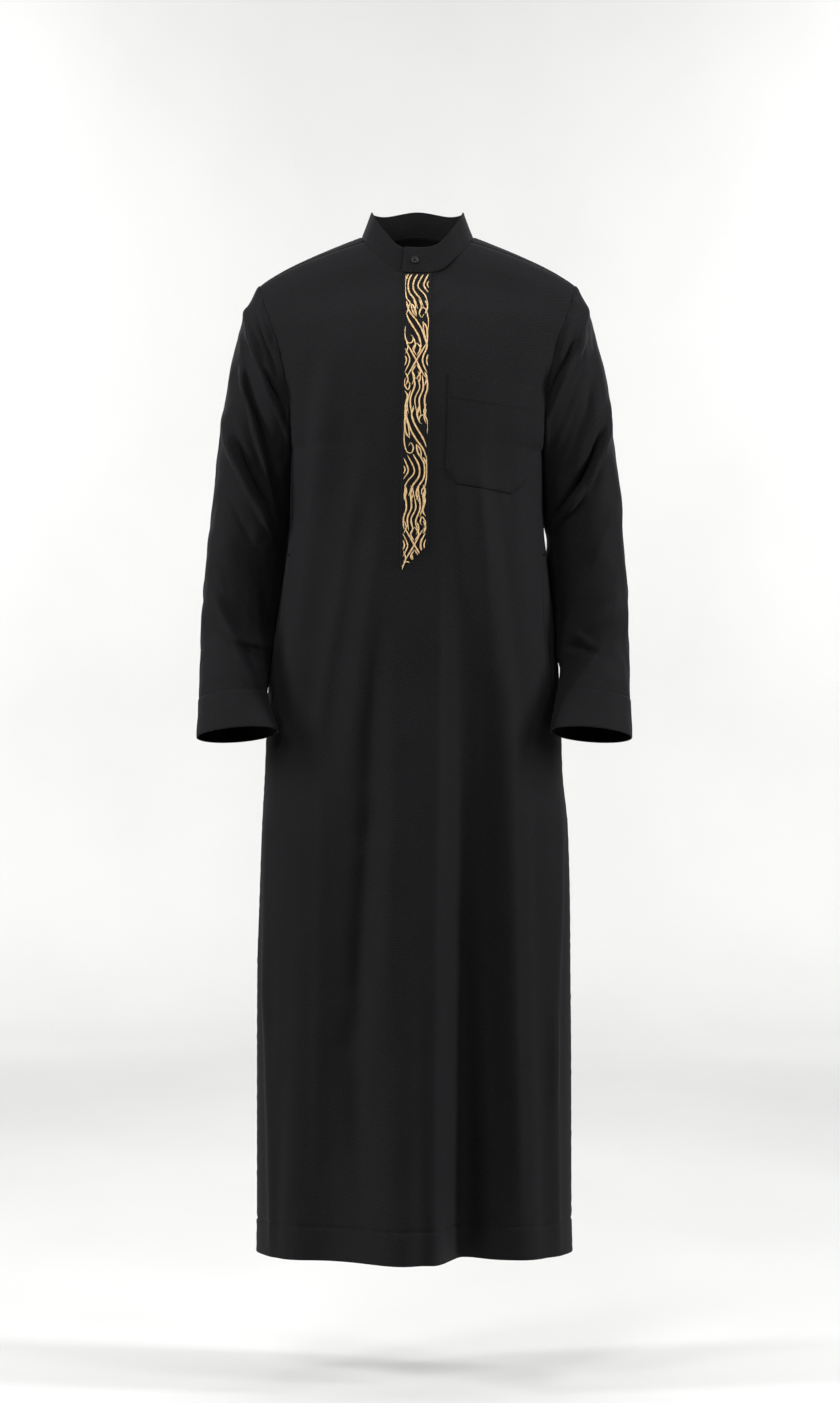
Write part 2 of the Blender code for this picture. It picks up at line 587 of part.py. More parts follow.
def make_wall(name, outer, faces, through_wall, material):
    """A closed wall: the outer faces, the same faces moved by through_wall, and a rim."""
    a, b, c, d = (outer[faces[len(faces) // 2][k]] for k in range(4))
    facing = np.cross(c - a, d - b)
    depth = through_wall[faces[len(faces) // 2][0]]
    if (facing * depth).sum() > 0:
        faces = [face[::-1] for face in faces]
    count = len(outer)
    edges = {}
    for face in faces:
        for k in range(4):
            edges[(face[k], face[(k + 1) % 4])] = True
    # Both sides of the wall are split along the same diagonals, so that they never cross
    halves = []
    for p, q, r, s in faces:
        if np.sum((outer[p] - outer[r]) ** 2) <= np.sum((outer[q] - outer[s]) ** 2):
            halves += [[p, q, r], [p, r, s]]
        else:
            halves += [[p, q, s], [q, r, s]]
    solid = halves + [[v + count for v in reversed(half)] for half in halves]
    for start, end in edges:
        if (end, start) not in edges:
            solid.append([end, start, start + count, end + count])
    mesh = bpy.data.meshes.new(name)
    build = bmesh.new()
    corners = [build.verts.new(point * MM) for point in np.concatenate([outer, outer + through_wall])]
    for face in solid:
        build.faces.new([corners[v] for v in face])
    loose = [v for v in build.verts if not v.link_faces]
    bmesh.ops.delete(build, geom=loose, context="VERTS")
    build.to_mesh(mesh)
    build.free()
    return place(name, mesh, material)


def place(name, mesh, material):
    """Adds an object to the thobe, smooth but for its edges."""
    mesh.materials.append(material)
    mesh.shade_smooth()
    mesh.set_sharp_from_angle(angle=np.radians(48))
    piece = bpy.data.objects.new(name, mesh)
    bpy.data.collections["thobe"].objects.link(piece)
    piece.parent = bpy.data.objects["thobe_hold"]
    return piece


def make_material(name, colour, roughness, sheen):
    material = bpy.data.materials.new(name)
    material.use_nodes = True
    shader = material.node_tree.nodes["Principled BSDF"]
    shader.inputs["Base Color"].default_value = colour
    shader.inputs["Roughness"].default_value = roughness
    shader.inputs["Metallic"].default_value = 0.0
    shader.inputs["Sheen Weight"].default_value = sheen
    return material


def panel_walls(level, extra_row):
    """Wall thickness and inward sink of each row of a panel, thicker in the turned hem."""
    depth = np.full(level.shape, CLOTH)
    sink = np.zeros(level.shape)
    depth[extra_row:] += HEM_EXTRA
    sink[extra_row - 1:extra_row + 1] = HEM_STITCH_SINK
    return depth, sink


def make_panel(name, share, level, slit_column, slit_rows, material):
    """A front or back panel from its grid of (share, level)."""
    points = body(share, level)
    normals = body_normals(share, level)
    through_wall = normals.copy()
    for edge, side in ((0, -1), (-1, 1)):
        armhole = np.abs(level[:, edge]) < 0.999
        turn = np.where(level[:, edge] < 0, -level[:, edge] / 2, 1 - level[:, edge] / 2)[armhole]
        other = sleeve_normals(side, np.full(turn.shape, FIRST_ALONG), turn)
        through_wall[armhole, edge] = shared(normals[armhole, edge], other)
    stitch_row = len(level) - 3
    depth, sink = panel_walls(level, stitch_row)
    outer = points - normals * sink[..., None]
    through_wall = -through_wall * (depth - sink)[..., None]
    draw_back(outer, 0, 1, SEAM_GAP / 2)
    turned = outer.transpose(1, 0, 2)
    draw_back(turned, 0, 1, SEAM_GAP / 2)
    draw_back(turned, -1, -2, SEAM_GAP / 2)
    index = np.arange(share.size).reshape(share.shape)
    if slit_column is not None:
        outer[:slit_rows, slit_column, 0] -= SEAM_GAP / 2
        outer[:slit_rows, slit_column + 1, 0] += SEAM_GAP / 2
        index[slit_rows:, slit_column + 1] = index[slit_rows:, slit_column]
    faces = sheet_faces(index, skip=slit_column)
    return make_wall(name, outer.reshape(-1, 3), faces, through_wall.reshape(-1, 3), material)


def make_strip(name, share, level, rise, depth, material):
    """A strip that lies on the front, made from the front's own points moved out by rise."""
    points = body(share, level)
    normals = body_normals(share, level)
    outer = points + normals * rise[..., None]
    faces = sheet_faces(np.arange(share.size).reshape(share.shape))
    return make_wall(name, outer.reshape(-1, 3), faces, -(normals * depth).reshape(-1, 3), material)


def make_placket(share, level, material_over, material_under):
    """The two strips that close the slit: one over it, one behind it."""
    last = sum(body(0.0, row[SIDE_COLUMNS + 2])[2] > -PLACKET_LAST_ROW for row in level)
    zone = [SIDE_COLUMNS + k for k in (0, 1, 2, 4, 5)]
    over_share, over_level = share[:last][:, zone].copy(), level[:last][:, zone].copy()
    ends = np.linspace(-PLACKET_TIP, -PLACKET_SHOULDER, 5)
    end_x = np.array([zone_x(z)[k] for k, z in enumerate(ends)])
    end_share, end_level = on_front(end_x, ends)
    over_share = np.vstack([over_share, end_share])
    over_level = np.vstack([over_level, end_level])
    # The top edge stays just below the collar
    top_z = body(over_share[0], over_level[0])[:, 2] - PLACKET_UNDER_COLLAR
    over_share[0], over_level[0] = on_front(zone_x(np.array(-PLACKET_TOP)), top_z)
    rise = np.full(over_share.shape, LAID_GAP + STRIP)
    make_strip("placket_over", over_share, over_level, rise, STRIP, material_over)
    under = [SIDE_COLUMNS + k for k in (1, 2, 4)]
    under_share, under_level = share[1:last + 1][:, under], level[1:last + 1][:, under]
    sunk = np.full(under_share.shape, -(CLOTH + LAID_GAP))
    make_strip("placket_under", under_share, under_level, sunk, STRIP, material_under)


def make_pocket(material):
    """The patch pocket, a little warped as the cloth under it hangs."""
    height = np.hypot(POCKET_TOP[0][0] - POCKET_FOOT[0][0], POCKET_TOP[0][1] - POCKET_FOOT[0][1])
    band = POCKET_TURN / height
    downs = [0, band / 2, band - POCKET_TURN_STEP, band + POCKET_TURN_STEP]
    downs += list(np.linspace(band, POCKET_CUT_FROM, POCKET_ROWS)[1:])
    downs += [(1 + POCKET_CUT_FROM) / 2, 1]
    x, z, rise = [], [], []
    for down in downs:
        cut = POCKET_CUT * max(0, (down - POCKET_CUT_FROM) / (1 - POCKET_CUT_FROM))
        for over in np.linspace(cut, 1 - cut, POCKET_COLUMNS + 1):
            corners = (POCKET_TOP[0], POCKET_TOP[1], POCKET_FOOT[0], POCKET_FOOT[1])
            weights = ((1 - over) * (1 - down), over * (1 - down), (1 - over) * down, over * down)
            x.append(sum(w * corner[0] for w, corner in zip(weights, corners)))
            z.append(sum(w * corner[1] for w, corner in zip(weights, corners)))
            rise.append(POCKET_GAP + STRIP + (POCKET_TURN_EXTRA if down < band else 0))
    shape = (len(downs), POCKET_COLUMNS + 1)
    share, level = on_front(np.array(x).reshape(shape), np.array(z).reshape(shape))
    depth = np.array(rise).reshape(shape) - POCKET_GAP
    rise = depth + POCKET_GAP
    make_strip("chest_pocket", share, level, rise, depth[..., None], material)


def edge_thinning(place, rows):
    """What a band loses on each side: nothing but in its first and last rows, its edges."""
    return np.interp(place, [rows[0], rows[1], rows[-2], rows[-1]], [EDGE_THIN, 0, 0, EDGE_THIN])


def collar_point(angle, up, lift):
    """A point of the collar: up is 0 at the neckline and 1 at its top edge."""
    share, level = neckline(angle)
    foot = body(share, level)[..., 2] + COLLAR_SEAT
    half = NECK_HALF + (COLLAR_TOP_HALF - NECK_HALF) * up + lift
    front = NECK_FRONT + (COLLAR_TOP_FRONT - NECK_FRONT) * up + lift
    back = NECK_BACK + (COLLAR_TOP_BACK - NECK_BACK) * up + lift
    x, y = neck_plan(angle, half, front, back)
    rise = COLLAR_HEIGHT * up
    return np.stack([x, y, foot + rise], -1)


def collar_normals(angle, up, lift):
    small = 0.4
    across = collar_point(angle + small, up, lift) - collar_point(angle - small, up, lift)
    upward = collar_point(angle, up + 0.01, lift) - collar_point(angle, up - 0.01, lift)
    normal = np.cross(across, upward)
    return normal / np.linalg.norm(normal, axis=-1, keepdims=True)


def make_collar(front_angles, back_angles, material):
    """One band round the neck, its end on the wearer's left lapped over the other end."""
    over_from, under_to = COLLAR_COLUMNS
    over = [neck_angle(-COLLAR_LAP)] + [a for a in front_angles if a > neck_angle(-over_from)]
    under = [a + 360 for a in front_angles if a < neck_angle(under_to)]
    angle, up = np.meshgrid(over + list(back_angles) + under, COLLAR_UPS)
    fade_from, fade_over = COLLAR_LAP_ENDS
    lift = COLLAR_LIFT * (1 - ease((angle - fade_from) / fade_over))
    signed = (angle + 180) % 360 - 180
    outer = collar_point(signed, up, lift)
    normals = collar_normals(signed, up, lift)
    faces = sheet_faces(np.arange(angle.size).reshape(angle.shape))
    thin = edge_thinning(up, COLLAR_UPS)
    outer = outer - normals * thin[..., None]
    depth = BAND - 2 * thin
    return make_wall("collar", outer.reshape(-1, 3), faces,
                     -(normals * depth[..., None]).reshape(-1, 3), material)


def make_sleeve(name, side, turns, material):
    alongs = np.linspace(0, 1, SLEEVE_RINGS)
    turn, along = np.meshgrid(turns, alongs)
    outer = sleeve(side, along, turn)
    normals = sleeve_normals(side, np.maximum(along, FIRST_ALONG), turn)
    through_wall = normals.copy()
    level = np.where(turns < 0.5, -2 * turns, 2 - 2 * turns)
    other = body_normals(np.full(level.shape, float(side)), level)
    through_wall[0] = shared(normals[0], other)
    draw_back(outer, 0, 1, SEAM_GAP / 2)
    draw_back(outer, -1, -2, SEAM_GAP / 2)
    faces = sheet_faces(np.arange(along.size).reshape(along.shape), closed=True)
    return make_wall(name, outer.reshape(-1, 3), faces,
                     -(through_wall * CLOTH).reshape(-1, 3), material)


def make_cuff(name, side, turns, material):
    turn, along = np.meshgrid(turns, CUFF_ALONGS)
    normals = sleeve_normals(side, along, turn)
    thin = edge_thinning(along, CUFF_ALONGS)
    outer = sleeve(side, along, turn) + normals * (CUFF_PROUD - thin)[..., None]
    draw_back(outer, 0, 1, SEAM_GAP / 2)
    faces = sheet_faces(np.arange(along.size).reshape(along.shape), closed=True)
    return make_wall(name, outer.reshape(-1, 3), faces,
                     -(normals * (BAND - 2 * thin)[..., None]).reshape(-1, 3), material)


def make_button(material):
    """A turned button, flat behind, with a raised rim round a sunk middle."""
    mesh = bpy.data.meshes.new("collar_button")
    corners = [(radius * MM, 0, height * MM) for radius, height in BUTTON_PROFILE]
    mesh.from_pydata(corners, [(k, k + 1) for k in range(len(corners) - 1)], [])
    button = place("collar_button", mesh, material)
    turned = button.modifiers.new("Turned", "SCREW")
    turned.steps = BUTTON_STEPS
    turned.render_steps = BUTTON_STEPS
    turned.use_merge_vertices = True
    turned.merge_threshold = 0.00005
    turned.use_normal_calculate = True
    x, z = BUTTON_AT
    angle = neck_angle(x)
    for _ in range(3):
        foot = collar_point(angle, 0.0, COLLAR_LIFT)[2]
        up = (z - foot) / COLLAR_HEIGHT
        angle = angle + np.degrees((x - collar_point(angle, up, COLLAR_LIFT)[0]) / NECK_HALF)
    seat = collar_point(angle, up, COLLAR_LIFT)
    normal = collar_normals(angle, up, COLLAR_LIFT)
    button.location = (seat + normal * BUTTON_GAP) * MM
    tilt = np.arctan2(np.hypot(normal[0], normal[1]), normal[2])
    turn = np.arctan2(normal[1], normal[0])
    button.rotation_euler = (0, tilt, turn)
    return button


def main():
    for thing in list(bpy.data.objects):
        bpy.data.objects.remove(thing)
    bpy.context.scene.collection.children.link(bpy.data.collections.new("thobe"))
    hold = bpy.data.objects.new("thobe_hold", None)
    bpy.data.collections["thobe"].objects.link(hold)

    front_share, front_level = front_grid()
    back_share, back_level = back_grid()
    middle = SIDE_COLUMNS + 2
    middle_z = body(np.zeros(len(front_level)), front_level[:, middle])[:, 2]
    slit_rows = int((middle_z > middle_z[0] - SLIT).sum())

    cloth = {name: make_material("black_twill_" + name, BLACK_TWILL, 0.86, 0.25) for name in (
        "front", "back", "sleeve_left", "sleeve_right", "cuff_left", "cuff_right", "collar",
        "placket_over", "placket_under", "chest_pocket")}
    make_panel("front", front_share, front_level, middle, slit_rows, cloth["front"])
    make_panel("back", back_share, back_level, None, 0, cloth["back"])
    make_placket(front_share, front_level, cloth["placket_over"], cloth["placket_under"])
    make_pocket(cloth["chest_pocket"])

    # The sleeve's rings use the armhole's own rows, so that the two edges match
    front_turns = -front_level[:YOKE_ROWS + 1, -1] / 2
    back_turns = 1 - back_level[BACK_YOKE_ROWS - 1:0:-1, -1] / 2
    turns = np.concatenate([front_turns, back_turns % 1])
    for name, side in (("left", 1), ("right", -1)):
        make_sleeve("sleeve_" + name, side, turns, cloth["sleeve_" + name])
        make_cuff("cuff_" + name, side, turns, cloth["cuff_" + name])

    neck_turn = neck_angle(SEAM_AT_NECK[0])
    zone = neck_angle(zone_x(np.array(-PLACKET_TOP)))
    steps = NECK_COLUMNS + 1
    left_front = np.linspace(zone[-1], neck_turn, steps)[1:]
    right_front = np.linspace(-neck_turn, zone[0], steps)[:-1]
    front_angles = list(right_front) + list(zone) + list(left_front)
    back_half = np.linspace(neck_turn, 180, BACK_NECK_COLUMNS + 1)[1:]
    back_angles = list(back_half) + [360 - a for a in back_half[-2::-1]]
    make_collar(front_angles, back_angles, cloth["collar"])
    make_button(make_material("black_horn_button", BLACK_HORN, 0.4, 0.0))


main()
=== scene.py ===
# A black thobe in its worn shape: cloth, embroidery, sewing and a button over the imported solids.
# Tables are in millimetres: +X is the thobe's own left, +Z is up, and the front faces -Y.
# The cloth follows the same sections as the solids, with finer folds on top.

import bmesh
import bpy
import numpy as np
from math import pi, radians
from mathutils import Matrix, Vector


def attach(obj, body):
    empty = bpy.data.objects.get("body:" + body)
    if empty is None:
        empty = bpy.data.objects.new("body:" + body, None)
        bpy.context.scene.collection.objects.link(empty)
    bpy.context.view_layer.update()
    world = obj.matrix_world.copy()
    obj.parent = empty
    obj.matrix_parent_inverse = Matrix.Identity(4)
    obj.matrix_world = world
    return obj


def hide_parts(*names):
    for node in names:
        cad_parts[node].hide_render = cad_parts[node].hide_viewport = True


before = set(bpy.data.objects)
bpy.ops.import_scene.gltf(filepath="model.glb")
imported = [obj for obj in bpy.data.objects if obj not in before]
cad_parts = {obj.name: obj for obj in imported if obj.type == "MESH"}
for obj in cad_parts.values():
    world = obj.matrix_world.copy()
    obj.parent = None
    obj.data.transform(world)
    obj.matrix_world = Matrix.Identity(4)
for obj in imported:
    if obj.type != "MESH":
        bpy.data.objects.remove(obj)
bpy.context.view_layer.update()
mm = 0.001
print("frame loaded")

# The form of the body
bodyForm = {
    "underarm": 297.0,
    "round": 2.2,            # exponent of the sections
    "roundNear": {-297: 2.42, -330: 2.3},   # eased in under the arms, so that no line shows there
    "shoulderSoft": 0.18,
    "shoulderDrop": 0.13,
    # level, edge x, edge y, edge z, middle y, middle z, turn
    "ridge": (0.00, 218.0, 0, -68, 0, 21, 1.10),
    "front": [
        (0.12, 217.5, -16, -70, -34, 7, 1.10),
        (0.25, 213.0, -38, -86, -58, -20, 1.10),
        (0.35, 207.0, -50, -104, -74.5, -62, 1.10),
        (0.50, 194.0, -62, -137, -101, -112, 1.12),
        (0.65, 183.0, -67, -178, -118, -165, 1.18),
        (0.80, 175.0, -62, -228, -127, -222, 1.35),
        (0.90, 172.5, -46, -268, -130, -260, 1.65),
        (0.96, 172.0, -24, -290, -130.5, -282, 1.95),
    ],
    "back": [
        (0.12, 217.0, 16, -71, 30, 18, 1.10),
        (0.25, 212.0, 36, -88, 58, 10, 1.10),
        (0.35, 206.0, 48, -106, 80, -12, 1.10),
        (0.50, 195.0, 60, -137, 103, -62, 1.12),
        (0.65, 185.0, 66, -178, 117, -130, 1.18),
        (0.80, 177.0, 62, -228, 121, -205, 1.35),
        (0.90, 173.5, 47, -268, 119, -255, 1.65),
        (0.96, 172.5, 25, -290, 117.5, -282, 1.95),
    ],
    # height, half width to the thobe's right and left, depth in front and behind
    "drops": [
        (-297, 174.0, 171.5, 130.5, 117),
        (-330, 174.0, 171.5, 130, 115.5),
        (-365, 174.5, 172.0, 129, 113),
        (-400, 175.5, 173.0, 128, 110.5),
        (-441, 180.0, 177.5, 127, 109),
        (-501, 188.5, 184.0, 126, 109.5),
        (-556, 197.0, 190.0, 126, 113),
        (-610, 204.0, 194.5, 126, 118),
        (-680, 207.0, 197.0, 126, 122),
        (-731, 209.0, 198.5, 125.5, 123),
        (-808, 213.0, 206.0, 125, 124),
        (-920, 217.0, 209.0, 124, 126),
        (-1000, 219.5, 209.5, 123.5, 128),
        (-1120, 220.0, 210.5, 123, 131),
        (-1341, 220.0, 211.0, 122, 134),
        (-1386, 220.5, 212.0, 122, 135),
    ],
}

# x and z of the start, x and z of the end, reach to the thobe's right and left, rise at both ends
frontFolds = [
    (-12, -600, -20, -1450, 58, 48, 3, 54),
    (25, -600, 24, -1450, 14, 13, 3, 16),
    (60, -480, 62, -1450, 17, 36, -4, -66),
    (120, -560, 152, -1450, 26, 28, 3, 14),
    (-165, -760, -170, -1450, 24, 31, 1, 18),
    (-52, -570, -62, -800, 17, 20, -4, -8),
    (-64, -800, -88, -1080, 18, 20, -8, -7),
    (-88, -1080, -74, -1260, 18, 20, -7, -3),
    (-79, -430, -118, -665, 20, 22, -4, -4),
    (-103, -300, -146, -540, 18, 22, -4, -5),
    (-134, -255, -172, -610, 15, 18, 4, 5),
    (-147, -200, -160, -360, 14, 16, -3, -3),
    (184, -760, 190, -1350, 13, 15, 3, 5),
    (-198, -790, -199, -1350, 13, 15, 3, 5),
    (118, -330, 128, -560, 20, 22, -4, -3),
    (66, -360, 84, -540, 20, 18, 3, 2),
]
backFolds = [
    (-70, -430, -118, -1450, 38, 34, 2, 17),
    (-44, -640, -52, -1450, 22, 30, -1, -19),
    (36, -520, 14, -1450, 30, 26, 2, 14),
    (104, -400, 78, -1450, 32, 36, -4, -21),
    (150, -700, 154, -1450, 22, 26, 1, 11),
    (-158, -560, -172, -1450, 20, 24, -3, -9),
    (132, -150, 96, -400, 20, 26, -3, -4),
    (-140, -170, -100, -420, 26, 20, -4, -3),
    (0, -250, 8, -520, 30, 30, -3, -3),
]
# Finer creases, too small for the solids
frontCreases = [
    (31, -590, 34, -1340, 16, 4.5, 1.8, 3.6),
    (26, -82, 44, -62, 3, 4, 2.2, 1.2),
    (25, -96, 50, -72, 3, 5, -2.0, -0.9),
    (26, -112, 60, -84, 4, 5, 1.6, 0.6),
    (-27, -92, -60, -120, 6, 5, -0.9, -0.4),
    (52, -362, 60, -470, 6, 9, 2.4, 0.8),
    (88, -366, 97, -500, 8, 6, 2.2, 0.6),
    (128, -360, 120, -480, 7, 9, -2.0, -0.6),
    (-128, -262, -168, -560, 9, 16, 1.0, 1.4),
    (-92, -330, -138, -600, 16, 12, -3.0, -3.6),
    (-72, -400, -110, -640, 12, 14, 1.0, 1.2),
    (-30, -640, -40, -980, 14, 16, 1.5, 2.4),
    (92, -720, 104, -1180, 7, 16, -1.8, -3.0),
    (124, -640, 134, -1230, 12, 6, 1.5, 2.7),
    (158, -820, 166, -1300, 8, 12, -1.8, -2.7),
    (-128, -700, -134, -1180, 9, 14, 1.5, 2.7),
    (-170, -900, -184, -1330, 7, 12, -1.5, -2.7),
    (146, -420, 160, -620, 10, 6, 2.1, 1.5),
    (156, -250, 150, -400, 8, 6, -1.8, -1.2),
    (63, -760, 66, -1450, 17, 34, 2.5, 15),
    (-76, -400, -112, -640, 14, 14, -2.5, -3.0),
    (-54, -420, -82, -650, 12, 12, 2.0, 2.0),
    (-62, -660, -72, -1000, 12, 12, -2.0, -3.5),
    (-76, -1000, -80, -1240, 12, 12, -3.5, -2.0),
    (36, -640, 22, -740, 14, 14, -2.0, -1.0),
    (112, -390, 140, -640, 12, 10, -2.4, -1.6),
    (90, -390, 118, -700, 10, 12, 2.2, 1.6),
    (196, -808, 183, -1119, 7, 5, 6.0, 5.0),
    (183, -1119, 187, -1325, 7, 5, 5.0, 5.0),
    (-209, -812, -205, -1022, 5, 7, 7.0, 7.0),
    (-205, -1022, -194, -1325, 5, 7, 7.0, 5.0),
    (-61, -770, -66, -830, 18, 20, 6.5, 6.5),
    (-88, -1050, -86, -1110, 18, 20, 5.5, 5.5),
]
backCreases = [
    (-150, -230, -92, -330, 7, 14, 2.2, 1.1),
    (148, -222, 84, -318, 14, 7, 2.2, 1.0),
    (-160, -290, -110, -420, 6, 12, -2.1, -1.1),
    (158, -280, 104, -400, 12, 6, -2.0, -1.1),
    (-60, -700, -82, -1300, 7, 15, 1.4, 3.1),
    (0, -760, -10, -1330, 14, 7, -1.4, -2.8),
    (60, -640, 50, -1240, 8, 15, 1.4, 2.8),
    (122, -760, 116, -1300, 14, 8, 1.4, 2.8),
    (-140, -820, -150, -1340, 8, 13, -1.4, -2.5),
    (30, -430, 40, -600, 12, 8, 1.4, 0.7),
    (-36, -460, -30, -620, 8, 12, -1.3, -0.7),
]


def through(xs, ys, x):
    # a smooth curve through a table, which never overshoots it
    step = np.diff(xs)
    slope = np.diff(ys) / step
    product = slope[:-1] * slope[1:]
    total = slope[:-1] + slope[1:]
    tangent = np.concatenate([slope[:1], np.zeros(len(slope) - 1), slope[-1:]])
    rising = product > 0
    tangent[1:-1][rising] = 2 * product[rising] / total[rising]
    i = np.clip(np.searchsorted(xs, x) - 1, 0, len(step) - 1)
    t = np.clip((x - xs[i]) / step[i], 0, 1)
    return (ys[i] * (1 + 2 * t) * (1 - t) ** 2 + ys[i + 1] * t * t * (3 - 2 * t)
            + step[i] * t * (1 - t) * (tangent[i] * (1 - t) - tangent[i + 1] * t))


def ease(t):
    t = np.clip(t, 0, 1)
    return t * t * (3 - 2 * t)


def unit(v):
    return v / np.maximum(np.linalg.norm(v, axis=-1, keepdims=True), 1e-9)


def foldRise(x, z, folds):
    total = np.zeros(np.broadcast(x, z).shape)
    for x0, z0, x1, z1, right, left, rise0, rise1 in folds:
        run, fall = x1 - x0, z1 - z0
        length = np.hypot(run, fall)
        along = ((x - x0) * run + (z - z0) * fall) / length**2
        beside = ((z - z0) * run - (x - x0) * fall) / length
        past = np.maximum(0, np.maximum(-along, along - 1)) * length
        reach = np.where(beside < 0, right, left)
        softEnd = 20 + 0.15 * length
        rise = rise0 + (rise1 - rise0) * np.clip(along, 0, 1)
        total = total + rise * np.exp(-((beside / reach) ** 2) - (past / softEnd) ** 2)
    return total


def unevenness(x, z, seed, waves=((150, 0.9), (80, 0.45), (38, 0.2))):
    # the slight unrest of worn cloth: a few crossing waves of each length
    dice = np.random.default_rng(seed)
    total = 0
    for length, height in waves:
        for _ in range(4):
            turn, phase, stretch = dice.uniform(0, pi), dice.uniform(0, 2 * pi), dice.uniform(0.8, 1.3)
            total = total + height / 2 * np.sin(
                (x * np.cos(turn) + z * np.sin(turn) * 0.6) * 2 * pi / (length * stretch) + phase)
    return total


def levelOf(z):
    return 1 + (-bodyForm["underarm"] - z) / 1000


def bodyColumns():
    rows = []
    for z, right, left, front, back in reversed(bodyForm["drops"]):
        turn = bodyForm["roundNear"].get(z, bodyForm["round"])
        rows.append((-levelOf(z), right, left, 0, z, -front, z, turn))
    for level, edgeX, *rest in reversed(bodyForm["front"]):
        rows.append((-level, edgeX, edgeX, *rest))
    rows.append((0, bodyForm["ridge"][1], *bodyForm["ridge"][1:]))
    for level, edgeX, *rest in bodyForm["back"]:
        rows.append((level, edgeX, edgeX, *rest))
    for z, right, left, front, back in bodyForm["drops"]:
        turn = bodyForm["roundNear"].get(z, bodyForm["round"])
        rows.append((levelOf(z), right, left, 0, z, back, z, turn))
    names = ("level", "right", "left", "edgeY", "edgeZ", "midY", "midZ", "turn")
    return dict(zip(names, np.array(rows, float).T))


bodyAt = bodyColumns()


def bodyRow(name, level):
    return through(bodyAt["level"], bodyAt[name], level)


def halfWidth(level, side):
    return np.where(side < 0, bodyRow("right", level), bodyRow("left", level))


def shoulderFall(out):
    soft, drop = bodyForm["shoulderSoft"], bodyForm["shoulderDrop"]
    slope = np.hypot(out, soft) - soft
    return (1 - drop) * slope / (np.hypot(1, soft) - soft) + drop * out**7


def body(share, level):
    # share runs from -1 at the thobe's right edge to 1; level is negative in front
    share, level = np.broadcast_arrays(np.asarray(share, float), np.asarray(level, float))
    bulk = bodyForm["round"]
    out = np.clip(np.abs(share), 0, 1)
    half = halfWidth(level, share)
    edgeY, midY = bodyRow("edgeY", level), bodyRow("midY", level)
    edgeZ, midZ = bodyRow("edgeZ", level), bodyRow("midZ", level)
    bulge = (1 - out**bulk) ** (1 / bodyRow("turn", level))
    x = share * half
    y = edgeY + (midY - edgeY) * bulge
    z = midZ + (edgeZ - midZ) * shoulderFall(out)
    ahead = foldRise(x, z, frontFolds + frontCreases) + unevenness(x, z, 3)
    behind = foldRise(x, z, backFolds + backCreases) + unevenness(x, z, 4)
    rise = np.where(level < 0, ahead, behind)
    rise = rise * (1 - out**8) * ease((np.abs(level) - 0.25) / 0.35)
    across = np.sign(share) * out ** (bulk - 1) / half * ease((out - 0.3) / 0.5)
    forward = np.sign(level) * bulge ** (bulk - 1) / np.maximum(np.abs(midY), 60)
    size = np.hypot(across, forward) + 1e-9
    return np.stack([x + rise * across / size, y + rise * forward / size, z], -1)


def bodyNormals(share, level):
    small = 1e-3
    du = np.where(share > 0.5, -small, small)
    dv = np.where(level > 0, -small, small)
    here = body(share, level)
    return unit(np.cross((body(share + du, level) - here) * np.sign(du)[..., None],
                         (body(share, level + dv) - here) * np.sign(dv)[..., None]))


def findLevel(x, goal, axis, low, high):
    # the level at which the body passes a depth (axis 1) or a height (axis 2)
    low = np.full(np.shape(x), low, float)
    high = np.full(np.shape(x), high, float)
    for _ in range(32):
        middle = (low + high) / 2
        value = body(np.clip(x / halfWidth(middle, x), -1, 1), middle)[..., axis]
        low, high = np.where(value < goal, middle, low), np.where(value < goal, high, middle)
    return (low + high) / 2


def onFront(x, z):
    x, z = np.broadcast_arrays(np.asarray(x, float), np.asarray(z, float))
    level = findLevel(x, z, 2, -2.2, -0.05)
    return x / halfWidth(level, x), level


def laidOnFront(x, z, rise=0.0):
    share, level = onFront(x, z)
    normals = bodyNormals(share, level)
    return body(share, level) + normals * np.asarray(rise)[..., None], normals


# The neck, the shoulder seams and the placket's line

neckForm = {
    "half": 76.5, "front": 72.0, "back": 62.0, "round": 2.5,
    "seamAtNeck": (72.5, -33.0),      # where the forward shoulder seam meets the collar
    "seamAtTip": -12.0,
}
placketForm = {
    "right": 18.7, "left": 18.8,      # its edges, from the middle
    "lean": 4.6,                      # drift to the thobe's right on its way down
    "top": 55.0, "tip": 457.0, "shoulder": 426.0,
    "slit": 385.0,
    "thick": 1.3, "lift": 0.4,
    "edgeStitch": 1.8,
    "tuck": 1.8,                      # how far its top lies under the collar's foot
    "span": (37, 400),                # width and length for its edges' roll
}


def neckPlan(angle, half, front, back):
    s, c = np.sin(np.radians(angle)), np.cos(np.radians(angle))
    power = 2 / neckForm["round"]
    depth = np.where(c > 0, front, back)
    return half * np.sign(s) * np.abs(s) ** power, -depth * np.sign(c) * np.abs(c) ** power


def neckAngle(x):
    return np.degrees(np.arcsin(np.sign(x) * (np.abs(x) / neckForm["half"]) ** (neckForm["round"] / 2)))


def neckline(angle):
    x, y = neckPlan(angle, neckForm["half"], neckForm["front"], neckForm["back"])
    level = findLevel(x, y, 1, -0.6, 0.6)
    return x / halfWidth(level, x), level


def shoulderSeam(x):
    neckX, neckY = neckForm["seamAtNeck"]
    y = neckY + (neckForm["seamAtTip"] - neckY) * (np.abs(x) - neckX) / (bodyForm["ridge"][1] - neckX)
    level = findLevel(x, y, 1, -0.4, 0.05)
    return np.clip(x / halfWidth(level, x), -1, 1), level


def lean(z):
    top = placketForm["top"]
    return -placketForm["lean"] * np.clip((-z - top) / (placketForm["tip"] - top), 0, 1)


# Meshes


